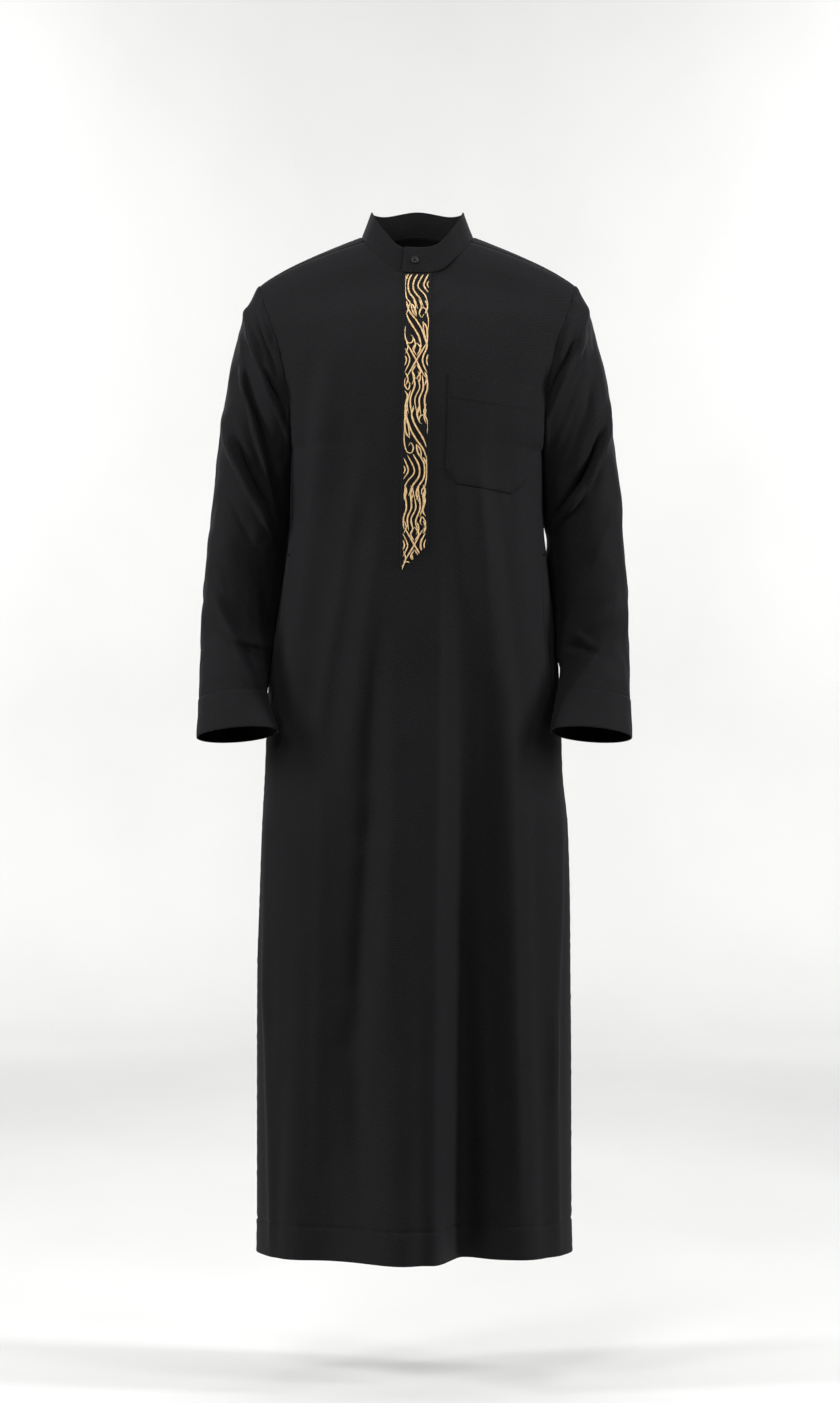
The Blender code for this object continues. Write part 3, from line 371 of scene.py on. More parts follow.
def lengthsAlong(points, axis):
    steps = np.linalg.norm(np.diff(points, axis=axis), axis=-1)
    first = np.zeros_like(np.take(steps, [0], axis=axis))
    return np.concatenate([first, np.cumsum(steps, axis=axis)], axis=axis)


def gridNormals(points):
    return unit(np.cross(np.gradient(points, axis=1), np.gradient(points, axis=0)))


def meshPiece(name, corners, faces, material, uv=None):
    mesh = bpy.data.meshes.new(name)
    mesh.from_pydata((np.asarray(corners) * mm).tolist(), [], [list(map(int, f)) for f in faces])
    if uv is not None:
        layer = mesh.uv_layers.new(name="clothUV")
        loops = np.empty(len(mesh.loops), np.int32)
        mesh.loops.foreach_get("vertex_index", loops)
        layer.data.foreach_set("uv", (np.asarray(uv)[loops] * mm).astype(np.float32).ravel())
    mesh.shade_smooth()
    mesh.materials.append(material)
    piece = bpy.data.objects.new(name, mesh)
    bpy.context.scene.collection.objects.link(piece)
    return piece


def gridFaces(rows, columns, closed=False, skip=()):
    index = np.arange(rows * columns).reshape(rows, columns)
    right = np.roll(index, -1, 1)
    last = columns if closed else columns - 1
    keep = [j for j in range(last) if j not in skip]
    a, b = index[:-1, keep], right[:-1, keep]
    c, d = right[1:, keep], index[1:, keep]
    return np.stack([a, b, c, d], -1).reshape(-1, 4)


def clothGrid(name, points, material, thick, inward, uv=None, closed=False, slit=None):
    # a grid of cloth with its thickness on the inner side; slit is the column and how many rows are open
    rows, columns = points.shape[:2]
    if uv is None:
        down = lengthsAlong(points, 0)
        over = lengthsAlong(points, 1)
        over = over - over[:, columns // 2][:, None]
        uv = np.stack([over, -down], -1)
    faces = gridFaces(rows, columns, closed, skip=() if slit is None else (slit[0],))
    if slit is not None:
        column, openRows = slit
        index = np.arange(rows * columns).reshape(rows, columns)
        swap = {int(index[i, column + 1]): int(index[i, column]) for i in range(openRows, rows)}
        faces = [[swap.get(int(v), int(v)) for v in f] for f in faces]
    if inward:
        faces = [list(f)[::-1] for f in faces]
    piece = meshPiece(name, points.reshape(-1, 3), faces, material, uv.reshape(-1, 2))
    loose = bmesh.new()
    loose.from_mesh(piece.data)
    bmesh.ops.delete(loose, geom=[v for v in loose.verts if not v.link_faces], context="VERTS")
    loose.to_mesh(piece.data)
    loose.free()
    wall = piece.modifiers.new("thickness", "SOLIDIFY")
    wall.thickness = thick * mm
    wall.offset = -1
    wall.use_even_offset = False
    return piece


def finer(count):
    # even steps from 0 to 1, with one more close to the end, where a seam pulls the cloth in
    return np.insert(np.linspace(0, 1, count), -1, 1 - 0.3 / count)


def dip(distance, deep=0.8, reach=2.2):
    # how far cloth sinks beside a seam, an edge or a row of stitches
    return deep * np.exp(-((distance / reach) ** 2))


# Materials


def hexColour(code):
    parts = [int(code[i:i + 2], 16) / 255 for i in (1, 3, 5)]
    return [c / 12.92 if c <= 0.04045 else ((c + 0.055) / 1.055) ** 2.4 for c in parts] + [1.0]


def addNode(tree, kind, settings=None, links=None):
    node = tree.nodes.new(kind)
    for key, value in (settings or {}).items():
        if isinstance(key, int) or key in node.inputs:
            node.inputs[key].default_value = value
        else:
            setattr(node, key, value)
    for key, source in (links or {}).items():
        tree.links.new(source, node.inputs[key])
    return node


def newMaterial(name, settings):
    material = bpy.data.materials.new(name)
    material.use_nodes = True
    shader = material.node_tree.nodes["Principled BSDF"]
    for key, value in settings.items():
        shader.inputs[key].default_value = value
    return material, material.node_tree, shader


def noise(tree, place, scale, detail, **more):
    links = {"Vector": place} if place else {}
    settings = {"Scale": scale, "Detail": detail, **more}
    return addNode(tree, "ShaderNodeTexNoise", settings, links).outputs["Fac"]


def bands(tree, place, degrees, apart, unrest, detailScale=1.0):
    # parallel ribs or stitches, with the distance from one to the next in millimetres
    turned = addNode(tree, "ShaderNodeMapping", {"Rotation": (0, 0, radians(degrees))}, {"Vector": place})
    return addNode(tree, "ShaderNodeTexWave", {
        "bands_direction": "X", "Scale": 0.314 / (apart * mm), "Distortion": unrest, "Detail": 1.0,
        "Detail Scale": detailScale}, {"Vector": turned.outputs["Vector"]}).outputs["Fac"]


def addShare(tree, value, share, base):
    links = {0: value, 2: base}
    return addNode(tree, "ShaderNodeMath", {"operation": "MULTIPLY_ADD", 1: share}, links).outputs["Value"]


def setDye(tree, shader, measure, *stops):
    dye = addNode(tree, "ShaderNodeValToRGB", {}, {"Fac": measure})
    for k, (position, code) in enumerate(stops):
        stop = dye.color_ramp.elements[k] if k < 2 else dye.color_ramp.elements.new(position)
        stop.position = position
        stop.color = hexColour(code)
    tree.links.new(dye.outputs["Color"], shader.inputs["Base Color"])


def setRough(tree, shader, measure, least, most):
    rough = addNode(tree, "ShaderNodeMapRange", {"To Min": least, "To Max": most}, {"Value": measure})
    tree.links.new(rough.outputs["Result"], shader.inputs["Roughness"])


def setBump(tree, shader, height, strength, deep):
    bump = addNode(tree, "ShaderNodeBump", {"Strength": strength, "Distance": deep * mm}, {"Height": height})
    tree.links.new(bump.outputs["Normal"], shader.inputs["Normal"])


twillLook = {
    "lit": "#222224", "deep": "#0E0E0F",   # piece-dyed black, a little blue
    "deepAt": 0.4, "litAt": 0.92,
    "rib": 3.2,            # real ribs are 0.45 mm apart, drawn coarser so that they show
    "ribTurn": 62,         # steep twill
    "ribTone": 0.12, "ribHigh": 0.18,
    "fibre": 2.0,          # uneven dye take-up from yarn to yarn
    "cloud": 45, "cloudTone": 0.2,
    "rough": (0.72, 0.88), "sheen": 0.03, "sheenRough": 0.5,
    "bump": 0.6, "bumpDeep": 0.5,
}


def blackTwill(name, look=twillLook, turn=0.0):
    # polyester and viscose twill, woven: matt, with a soft bloom where it turns away from the eye
    material, tree, shader = newMaterial(name, {
        "Sheen Weight": look["sheen"], "Sheen Roughness": look["sheenRough"],
        "Sheen Tint": hexColour("#C9CCD6"), "IOR": 1.5, "Specular IOR Level": 0.1})
    place = addNode(tree, "ShaderNodeUVMap", {"uv_map": "clothUV"}).outputs["UV"]
    ribs = bands(tree, place, look["ribTurn"] + turn, look["rib"], 0.6, 1.4)
    fibres = noise(tree, place, 1 / (look["fibre"] * mm), 3.0, Roughness=0.65)
    clouds = noise(tree, place, 1 / (look["cloud"] * mm), 4.0, Roughness=0.6)
    tone = addShare(tree, clouds, look["cloudTone"], addShare(tree, ribs, look["ribTone"], fibres))
    setDye(tree, shader, tone, (look["deepAt"], look["deep"]), (look["litAt"], look["lit"]))
    setRough(tree, shader, clouds, *look["rough"])
    setBump(tree, shader, addShare(tree, ribs, look["ribHigh"], fibres), look["bump"], look["bumpDeep"])
    return material


def spunThread(name):
    # spun polyester sewing thread, twisted: a little glossier than the cloth
    material, tree, shader = newMaterial(name, {"IOR": 1.55, "Specular IOR Level": 0.15, "Roughness": 0.6})
    fuzz = noise(tree, None, 1400.0, 2.0)
    setDye(tree, shader, fuzz, (0, "#0C0C0D"), (1, "#141416"))
    setBump(tree, shader, fuzz, 0.3, 0.1)
    return material


goldLook = {
    # gold is the thread's own colour; deep is painted shade at the strokes' sides, light is painted
    # highlight along the stitches
    "deep": "#A8783C", "gold": "#E2BE86", "light": "#F6E2B8",
    "deepAt": 0.25, "goldAt": 0.62, "lightAt": 0.95,
    "stitch": 0.7,         # stitches are 0.4 mm apart, drawn coarser so that they show
    # painted shade at each stroke's sides, growing from the first distance to the second
    "paintedShadeAside": (0.0004, 0.0011),   # from a stroke's middle, in metres
}


def rayonThread(name, look=goldLook):
    # machine-embroidered viscose rayon, satin stitched: threads lie across each stroke and gleam
    material, tree, shader = newMaterial(name, {
        "IOR": 1.52, "Specular IOR Level": 0.5, "Sheen Weight": 0.3, "Sheen Roughness": 0.3,
        "Sheen Tint": hexColour("#FFEFC8"), "Metallic": 0.12})
    place = addNode(tree, "ShaderNodeUVMap", {"uv_map": "clothUV"}).outputs["UV"]
    stitches = bands(tree, place, 24, look["stitch"], 0.8)
    patches = noise(tree, place, 260.0, 2.0)
    # painted shade: the thread is coloured darker at both sides of a stroke, where its rounded top turns
    # away from the light
    apart = addNode(tree, "ShaderNodeSeparateXYZ", {}, {"Vector": place})
    aside = addNode(tree, "ShaderNodeMath", {"operation": "ABSOLUTE"}, {0: apart.outputs["Y"]})
    paintedSideShade = addNode(tree, "ShaderNodeMapRange", {
        "From Min": look["paintedShadeAside"][0], "From Max": look["paintedShadeAside"][1], "To Min": 0.0, "To Max": 0.4},
        {"Value": aside.outputs["Value"]})
    # the stitches' bands add painted highlight along each stitch, the patches are random tone, and the
    # painted side shade is taken off
    tone = addNode(tree, "ShaderNodeMath", {"operation": "SUBTRACT"},
                   {0: addShare(tree, stitches, 0.35, patches), 1: paintedSideShade.outputs["Result"]})
    setDye(tree, shader, tone.outputs["Value"], (look["deepAt"], look["deep"]),
           (look["goldAt"], look["gold"]), (look["lightAt"], look["light"]))
    setRough(tree, shader, patches, 0.36, 0.55)
    setBump(tree, shader, stitches, 0.5, 0.15)
    return material


def turnedHorn(name):
    # cast polyester made to look like horn, turned and polished, with faint streaks
    material, tree, shader = newMaterial(name, {"IOR": 1.54, "Specular IOR Level": 0.3})
    place = addNode(tree, "ShaderNodeTexCoord").outputs["Object"]
    drawn = addNode(tree, "ShaderNodeMapping", {"Scale": (1, 6, 1)}, {"Vector": place})
    streaks = noise(tree, drawn.outputs["Vector"], 240.0, 4.0)
    setDye(tree, shader, streaks, (0, "#0B0B0C"), (1, "#1E1D1E"))
    setRough(tree, shader, streaks, 0.4, 0.55)
    return material


def matPaper(name, light, deep):
    # seamless background paper: matt, with a faint tooth
    material, tree, shader = newMaterial(name, {"Roughness": 0.95, "Specular IOR Level": 0.1})
    setDye(tree, shader, noise(tree, None, 6.0, 6.0), (0, light), (1, deep))
    return material


twill = blackTwill("blackTwill")
twillAcross = blackTwill("blackTwillAcross", turn=90)     # cuffs and collar are cut across the cloth
blackThread = spunThread("blackPolyesterThread")
goldThread = rayonThread("paleGoldRayonThread")
print("materials made")

# The panels

panelForm = {
    "thick": 1.3, "hem": 1386.0, "hemTurn": 45.0, "hemExtra": 0.7,
    "stitchDeep": 1.2, "stitchReach": 2.0, "puckerDeep": 0.8, "puckerReach": 11,
    "frontColumns": 88, "neckColumns": 26, "yokeRows": 58, "dropRows": 150,
    "backColumns": 66, "backNeckColumns": 24, "backYokeRows": 62,
}


def halfRow(level, side, x, steps):
    # shares from x to the edge of a row, at even steps along the cloth
    start = x / halfWidth(np.array(level), np.array(x))
    fine = start + (side - start) * np.sin(np.linspace(0, pi / 2, 240))
    run = lengthsAlong(body(fine, np.full(fine.shape, level)), 0)
    return np.interp(steps * run[-1], run, fine)


def dropHeights():
    stitch = panelForm["hem"] - panelForm["hemTurn"]
    upper = np.linspace(bodyForm["underarm"], stitch - 12, panelForm["dropRows"])
    hemSteps = [-9, -6, -3.5, -1.5, 0, 1.5, 3.5, 6, 10, 16, 23, 30, 36, 40.5, 43.5, 45]
    return np.concatenate([upper, stitch + np.array(hemSteps)])


def topRow(side, columns, neckColumns, innerAngle, steps):
    # along the neck, and then along the shoulder's seam
    neckX, tipX = neckForm["seamAtNeck"][0], bodyForm["ridge"][1]
    corner = neckAngle(side * neckX)
    share = neckColumns / columns
    angles = innerAngle + (corner - innerAngle) * np.clip(steps / share, 0, 1)
    seamX = side * (neckX + (tipX - neckX) * np.clip((steps - share) / (1 - share), 0, 1))
    neckShare, neckLevel = neckline(angles)
    seamShare, seamLevel = shoulderSeam(seamX)
    atNeck = steps <= share + 1e-9
    return np.where(atNeck, neckShare, seamShare), np.where(atNeck, neckLevel, seamLevel)


def frontShares():
    # the middle column comes twice, so that the slit can open there
    steps = finer(panelForm["frontColumns"])
    middle = neckAngle(float(lean(np.array(-placketForm["top"]))))
    right, left = (topRow(side, panelForm["frontColumns"], panelForm["neckColumns"], middle, steps)
                   for side in (-1, 1))
    topShare, topLevel = (np.concatenate([a[::-1], b]) for a, b in zip(right, left))

    def wholeRow(level):
        x = float(lean(body(0.0, level)[2]))
        return np.concatenate([halfRow(level, -1, x, steps)[::-1], halfRow(level, 1, x, steps)])

    underarm = wholeRow(-1.0)
    rows = [(topShare + (underarm - topShare) * t, topLevel + (-1 - topLevel) * t)
            for t in np.linspace(0, 1, panelForm["yokeRows"] + 1)[:-1]]
    for level in -levelOf(-dropHeights()):
        rows.append((wholeRow(level), np.full(len(topShare), level)))
    return np.moveaxis(np.array(rows), 1, 0)


def backShares():
    steps = finer(panelForm["backColumns"])
    halfShare, halfLevel = topRow(1, panelForm["backColumns"], panelForm["backNeckColumns"], 180, steps)
    topShare = np.concatenate([-halfShare[:0:-1], halfShare])
    topLevel = np.concatenate([halfLevel[:0:-1], halfLevel])
    # columns are pushed outward under the corner of neck and shoulder, where they would crowd
    neck = panelForm["backNeckColumns"] / panelForm["backColumns"]
    fromCorner = (np.abs(np.concatenate([-steps[:0:-1], steps])) - neck) * 15
    push = np.sign(topShare) * dip(fromCorner, 1)

    def wholeRow(level):
        return np.concatenate([halfRow(level, -1, 0.0, steps)[:0:-1], halfRow(level, 1, 0.0, steps)])

    underarm = wholeRow(1.0)
    rows = [(topShare + (underarm - topShare) * t + push * t * (1 - t) ** 4, topLevel + (1 - topLevel) * t)
            for t in np.linspace(0, 1, panelForm["backYokeRows"] + 1)[:-1]]
    for level in levelOf(-dropHeights()):
        rows.append((wholeRow(level), np.full(len(topShare), level)))
    return np.moveaxis(np.array(rows), 1, 0)


def panelPoints(share, level, seed):
    # the cloth sinks a little into its seams and at the hem's stitches, where it also puckers
    points = body(share, level)
    normals = bodyNormals(share, level)
    over, down = lengthsAlong(points, 1), lengthsAlong(points, 0)
    edge = np.minimum(over, over[:, -1:] - over)
    x, z = points[..., 0], points[..., 2]
    sink = dip(edge) + dip(down, 0.7)
    pucker = unevenness(x, z * 0.15, seed, ((26, 0.5), (13, 0.35)))
    stitch = -(panelForm["hem"] - panelForm["hemTurn"])
    sink += dip(z - stitch, panelForm["stitchDeep"], panelForm["stitchReach"])
    sink += dip(z - stitch, panelForm["puckerDeep"] * pucker, panelForm["puckerReach"])
    sink -= panelForm["hemExtra"] * ease((stitch - 1 - z) / 3) * 0.5
    sink += dip(edge, unevenness(x + z, z, seed + 9, ((17, 0.35),)), 8)
    return points - normals * sink[..., None]


cloth = {}
share, level = frontShares()
middle = panelForm["frontColumns"]
middleHeights = body(np.zeros(len(level)), level[:, middle])[:, 2]
openRows = int((middleHeights > -placketForm["top"] - placketForm["slit"]).sum())
frontPoints = panelPoints(share, level, 11)
cloth["front"] = clothGrid("frontPanel", frontPoints, twill, panelForm["thick"], True,
                           slit=(middle, openRows))
share, level = backShares()
backPoints = panelPoints(share, level, 12)
cloth["back"] = clothGrid("backPanel", backPoints, twill, panelForm["thick"], False)
print("panels made", frontPoints.shape, backPoints.shape)

# Sleeves and cuffs

sleeveForm = {
    "thick": 1.3, "rings": 214, "columns": 188, "blend": 0.34, "girth": 330,
    "creaseDeep": 1.6, "creaseReach": 0.72,
    # along, outer x right, outer x left, outer z, inner x right, inner x left, inner z,
    # middle depth, how far the inner end lies behind it, half depth, lift of the front
    "table": [
        (0.00, 218, 218, -68, 174, 171.5, -297, 0, 0, 66, 0),
        (0.10, 237.5, 236, -112, 174.8, 172.2, -318, 4, 4, 69, 0),
        (0.22, 252.5, 251, -167, 173.8, 171.3, -345, 12, 8, 67, 0),
        (0.36, 264, 262.5, -235, 174.5, 173.2, -385, 20, 10, 63, 0),
        (0.46, 273.5, 271.5, -303, 178.5, 179.3, -416, 25, 10, 60, 1),
        (0.56, 281, 278.5, -367, 180.5, 177.4, -451, 26, 11.5, 58, 1.4),
        (0.64, 285.5, 281.5, -414, 184, 180.5, -480, 24, 14, 56, 2),
        (0.76, 291.5, 285, -490, 194, 188.2, -535, 2, 20, 53, 4),
        (0.86, 294, 287, -550, 200.2, 191.6, -576, -22, 4, 50, 6),
        (0.90, 294.5, 287, -575, 201.4, 195.2, -590, -32, 6, 49, 7),
        (0.94, 295, 287, -600, 202.4, 194.2, -605, -42, 7, 48, 8),
        (1.00, 295, 287, -634, 205, 190.4, -624, -55, 4, 46.5, 9),
        (1.12, 296.5, 288, -684, 189, 181, -675, -78, 0, 45, 10),
    ],
}
cuffForm = {"thick": 1.8, "proud": 0.5, "rows": 22, "end": 1.12}
sleeveFolds = {
    "right": [
        (-224, -118, -196, -235, 18, 20, 7, 6),
        (-246, -150, -212, -310, 19, 18, -8, -8),
        (-262, -250, -206, -400, 18, 20, 6, 5),
        (-280, -330, -220, -455, 19, 18, -6, -5),
        (-270, -490, -212, -560, 18, 18, -9, -9),
        (-286, -520, -226, -604, 17, 16, 6, 7),
    ],
    "left": [
        (216, -100, 190, -232, 18, 18, 7, 5),
        (238, -150, 192, -290, 18, 18, -8, -8),
        (254, -190, 250, -290, 17, 20, 8, 7),
        (246, -300, 200, -396, 18, 19, -8, -8),
        (272, -380, 214, -476, 18, 18, 6, 5),
        (250, -520, 196, -540, 17, 17, 8, 8),
        (262, -562, 204, -590, 17, 16, -9, -7),
    ],
    "behind": [
        (222, -120, 196, -260, 18, 18, 6, 6),
        (244, -180, 204, -330, 19, 18, -7, -7),
        (266, -300, 206, -430, 18, 20, 5, 6),
        (284, -440, 196, -500, 17, 17, -9, -9),
        (282, -486, 206, -550, 17, 17, 7, 7),
        (288, -560, 220, -596, 17, 16, -6, -6),
    ],
}
sleeveCreases = {
    "right": [
        (-217, -84, -207, -127, 4, 4, 2.0, 3.2),
        (-207, -127, -180, -185, 4, 5, 3.2, 2.4),
        (-220, -104, -198, -172, 4, 5, -1.4, -2.8),
        (-231, -110, -223, -152, 5, 5, 3.4, 4.4),
        (-223, -152, -208, -200, 5, 5, 4.4, 4.6),
        (-208, -200, -180, -262, 5, 7, 4.6, 3.4),
        (-219, -172, -200, -206, 5, 5, -2.4, -3.8),
        (-200, -206, -178, -246, 5, 6, -3.8, -3.0),
        (-242, -150, -238, -202, 6, 5, 2.4, 3.6),
        (-238, -202, -222, -262, 5, 5, 3.6, 4.2),
        (-222, -262, -207, -317, 5, 5, 4.2, 3.8),
        (-207, -317, -194, -380, 5, 6, 3.8, 2.4),
        (-230, -200, -212, -262, 7, 7, -2.0, -3.4),
        (-212, -262, -192, -330, 7, 7, -3.4, -2.8),
        (-263, -254, -252, -292, 6, 6, 3.0, 4.8),
        (-252, -292, -236, -332, 6, 6, 4.8, 5.2),
        (-236, -332, -211, -381, 6, 6, 5.2, 4.8),
        (-211, -381, -198, -404, 6, 6, 4.8, 2.8),
        (-246, -272, -234, -308, 6, 6, -2.8, -5.0),
        (-234, -308, -216, -348, 6, 7, -5.0, -5.6),
        (-216, -348, -194, -384, 7, 7, -5.6, -4.0),
        (-272, -330, -236, -398, 9, 8, -2.0, -2.6),
        (-279, -484, -260, -524, 8, 8, 1.8, 2.8),
        (-260, -524, -242, -548, 7, 7, 2.8, 3.0),
        (-246, -544, -222, -556, 7, 9, 1.6, 3.6),
        (-222, -556, -198, -561, 7, 9, 3.6, 3.6),
        (-240, -562, -204, -586, 6, 5, -1.6, -3.8),
        (-229, -572, -216, -603, 5, 6, -3.8, -3.4),
        (-216, -603, -206, -620, 5, 6, -3.4, -2.2),
        (-240, -580, -230, -612, 7, 6, 2.4, 1.6),
        (-284, -420, -270, -470, 7, 9, 1.8, 1.4),
    ],
    "left": [
        (212, -98, 200, -138, 5, 5, 2.4, 3.4),
        (200, -138, 180, -182, 5, 5, 3.4, 2.4),
        (214, -124, 204, -162, 5, 6, -1.8, -3.6),
        (204, -162, 178, -222, 6, 6, -3.6, -3.2),
        (227, -116, 221, -154, 5, 5, 2.6, 4.2),
        (221, -154, 201, -195, 5, 5, 4.2, 4.6),
        (201, -195, 174, -256, 5, 6, 4.6, 3.0),
        (240, -131, 242, -168, 9, 9, -1.4, -2.6),
        (242, -168, 235, -222, 9, 10, -2.6, -3.0),
        (235, -222, 206, -312, 10, 12, -3.0, -2.6),
        (222, -206, 194, -276, 8, 8, 1.8, 2.2),
        (260, -236, 255, -275, 5, 5, 2.6, 4.6),
        (255, -275, 240, -320, 5, 6, 4.6, 5.2),
        (240, -320, 214, -362, 6, 6, 5.2, 4.8),
        (214, -362, 194, -388, 6, 6, 4.8, 3.0),
        (252, -246, 244, -284, 6, 6, -2.2, -4.4),
        (244, -284, 228, -321, 6, 6, -4.4, -5.2),
        (228, -321, 200, -364, 6, 7, -5.2, -4.4),
        (272, -360, 250, -420, 8, 9, 2.0, 1.4),
        (262, -500, 216, -544, 10, 10, 1.6, 2.4),
        (216, -544, 194, -526, 9, 9, 2.4, 2.8),
        (226, -566, 196, -558, 8, 9, -2.6, -3.6),
        (214, -572, 197, -608, 7, 7, -1.6, -3.4),
        (244, -566, 216, -606, 9, 9, 2.0, 2.4),
        (276, -440, 268, -500, 9, 7, 1.8, 1.4),
    ],
    "behind": [
        (232, -126, 202, -232, 6, 9, 3.2, 3.4),
        (224, -140, 196, -222, 6, 6, -2.6, -2.8),
        (254, -206, 208, -330, 9, 6, 3.4, 3.8),
        (246, -200, 203, -306, 6, 6, -2.8, -3.0),
        (272, -326, 212, -420, 6, 9, -3.2, -3.6),
        (268, -344, 208, -436, 6, 7, 3.0, 3.6),
        (282, -448, 204, -520, 6, 8, 4.2, 4.6),
        (284, -466, 206, -534, 6, 6, -4.0, -4.2),
        (286, -508, 214, -562, 8, 6, -3.0, -3.2),
        (280, -530, 212, -576, 6, 7, 3.0, 3.2),
        (270, -574, 220, -604, 6, 8, 2.6, 2.4),
    ],
}
ringNames = ("along", "outRight", "outLeft", "outZ", "inRight", "inLeft", "inZ",
             "y", "swing", "depth", "lift")
ringAt = dict(zip(ringNames, np.array(sleeveForm["table"], float).T))


def creaseRise(x, z, word):
    reach = sleeveForm["creaseReach"]
    sharp = [(*row[:4], row[4] * reach, row[5] * reach, *row[6:]) for row in sleeveCreases[word]]
    return sleeveForm["creaseDeep"] * foldRise(x, z, sharp)


def sleeve(side, along, turn):
    # turn 0 is the outer edge, 0.25 the front, 0.5 the inner edge
    along, turn = np.broadcast_arrays(np.asarray(along, float), np.asarray(turn, float))
    word = "Left" if side > 0 else "Right"
    c, s = np.cos(2 * pi * turn), np.sin(2 * pi * turn)

    def ring(v):
        x = side * ((v["out" + word] + v["in" + word]) / 2 + (v["out" + word] - v["in" + word]) / 2 * c)
        z = (v["outZ"] + v["inZ"]) / 2 + (v["outZ"] - v["inZ"]) / 2 * c + v["lift"] * s
        return np.stack([x, v["y"] - v["swing"] * c - v["depth"] * s, z], -1)

    point = ring({k: through(ringAt["along"], ringAt[k], along) for k in ringNames[1:]})
    start = ring({k: ringAt[k][0] for k in ringNames[1:]})
    armhole = body(side, np.where(turn < 0.5, -2 * turn, 2 - 2 * turn))
    point = point + (armhole - start) * (1 - ease(along / sleeveForm["blend"]))[..., None]
    x, z = point[..., 0], point[..., 2]
    word = word.lower()
    ahead = foldRise(x, z, sleeveFolds[word]) + creaseRise(x, z, word)
    behind = foldRise(x * side, z, sleeveFolds["behind"]) + creaseRise(x * side, z, "behind")
    rise = np.where(s > 0, ahead, behind) * np.abs(s) ** 0.6
    rise = rise + unevenness(x + 2 * point[..., 1], z, 21 + side, ((90, 0.9), (45, 0.45), (24, 0.2)))
    rise = rise * ease(along / 0.08) * ease((1.02 - along) / 0.08)
    outward = np.stack([side * c * (0.45 + 0.35 * c), -s, 0.3 * c], -1)
    return point + rise[..., None] * outward


def sleeveNormals(side, along, turn):
    small = np.where(along > 0.5, -1e-3, 1e-3)
    down = (sleeve(side, along + small, turn) - sleeve(side, along, turn)) * np.sign(small)[..., None]
    around = sleeve(side, along, turn + 0.02) - sleeve(side, along, turn - 0.02)
    return unit(side * np.cross(around, down))


cuffLines = {}
for word, side in (("left", 1), ("right", -1)):
    turns = np.linspace(0, 1, sleeveForm["columns"] + 1)[:-1]
    alongs = np.concatenate([[0.0, 0.003], np.linspace(0.008, 0.992, sleeveForm["rings"]), [0.997, 1.0]])
    turn, along = np.meshgrid(turns, alongs)
    points = sleeve(side, along, turn)
    normals = sleeveNormals(side, np.maximum(along, 0.002), turn)
    down = lengthsAlong(points, 0)
    sink = dip(down, 0.6) + dip(down[-1:] - down, 0.5)
    sink += dip(down, unevenness(turn * 400, along * 60, 31 + side, ((22, 0.5),)), 12)
    points = points - normals * sink[..., None]
    # the seam allowance lies behind the body's edge
    points[0] += unit(points[0] - points[3]) * 2.0 - normals[0] * 0.8
    uv = np.stack([turn * sleeveForm["girth"], -down], -1)
    cloth["sleeve_" + word] = clothGrid("sleeve" + word.title(), points, twill, sleeveForm["thick"],
                                        side > 0, uv=uv, closed=True)
    steps = np.concatenate([[0, 0.02, 0.06], np.linspace(0.1, 0.9, cuffForm["rows"]), [0.94, 0.98, 1]])
    alongs = 1 + (cuffForm["end"] - 1) * steps
    turn, along = np.meshgrid(turns, alongs)
    normals = sleeveNormals(side, along, turn)
    points = sleeve(side, along, turn)
    down = lengthsAlong(points, 0)
    nearEdge = np.minimum(down, down[-1:] - down)
    unrest = unevenness(turn * sleeveForm["girth"], down, 41 + side, ((60, 0.5), (25, 0.2)))
    rise = cuffForm["proud"] + 0.35 * ease(nearEdge / 2.5) - 0.3
    rise = rise + unrest * ease(nearEdge / 12)
    points = points + normals * rise[..., None]
    uv = np.stack([turn * sleeveForm["girth"], -down], -1)
    cloth["cuff_" + word] = clothGrid("cuff" + word.title(), points, twillAcross, cuffForm["thick"],
                                      side > 0, uv=uv, closed=True)
    cuffLines[word] = (points, normals, down)
print("sleeves and cuffs made")

# Collar

collarForm = {
    "height": 35.5, "topHalf": 63.0, "topFront": 62.5, "topBack": 55.5,
    "lap": 20.0, "underTo": 14.0, "lift": 2.4, "seat": 0.5, "tuck": 1.2, "thick": 1.9,
    "liftFrom": 18, "liftOver": 50,   # where the upper end starts to come down and over how many degrees
}


def collarPoint(angle, up, lift):
    share, level = neckline(angle)
    lifted = lift / collarForm["lift"]
    foot = body(share, level)[..., 2] + collarForm["seat"] * lifted - collarForm["tuck"] * (1 - lifted)
    half = neckForm["half"] + (collarForm["topHalf"] - neckForm["half"]) * up + lift
    front = neckForm["front"] + (collarForm["topFront"] - neckForm["front"]) * up + lift
    back = neckForm["back"] + (collarForm["topBack"] - neckForm["back"]) * up + lift
    x, y = neckPlan(angle, half, front, back)
    return np.stack([x, y, foot + collarForm["height"] * up], -1)


def collarNormals(angle, up, lift):
    across = collarPoint(angle + 0.4, up, lift) - collarPoint(angle - 0.4, up, lift)
    upward = collarPoint(angle, up + 0.01, lift) - collarPoint(angle, up - 0.01, lift)
    return unit(np.cross(across, upward))


def collarLift(angle):
    return collarForm["lift"] * (1 - ease((angle - collarForm["liftFrom"]) / collarForm["liftOver"]))


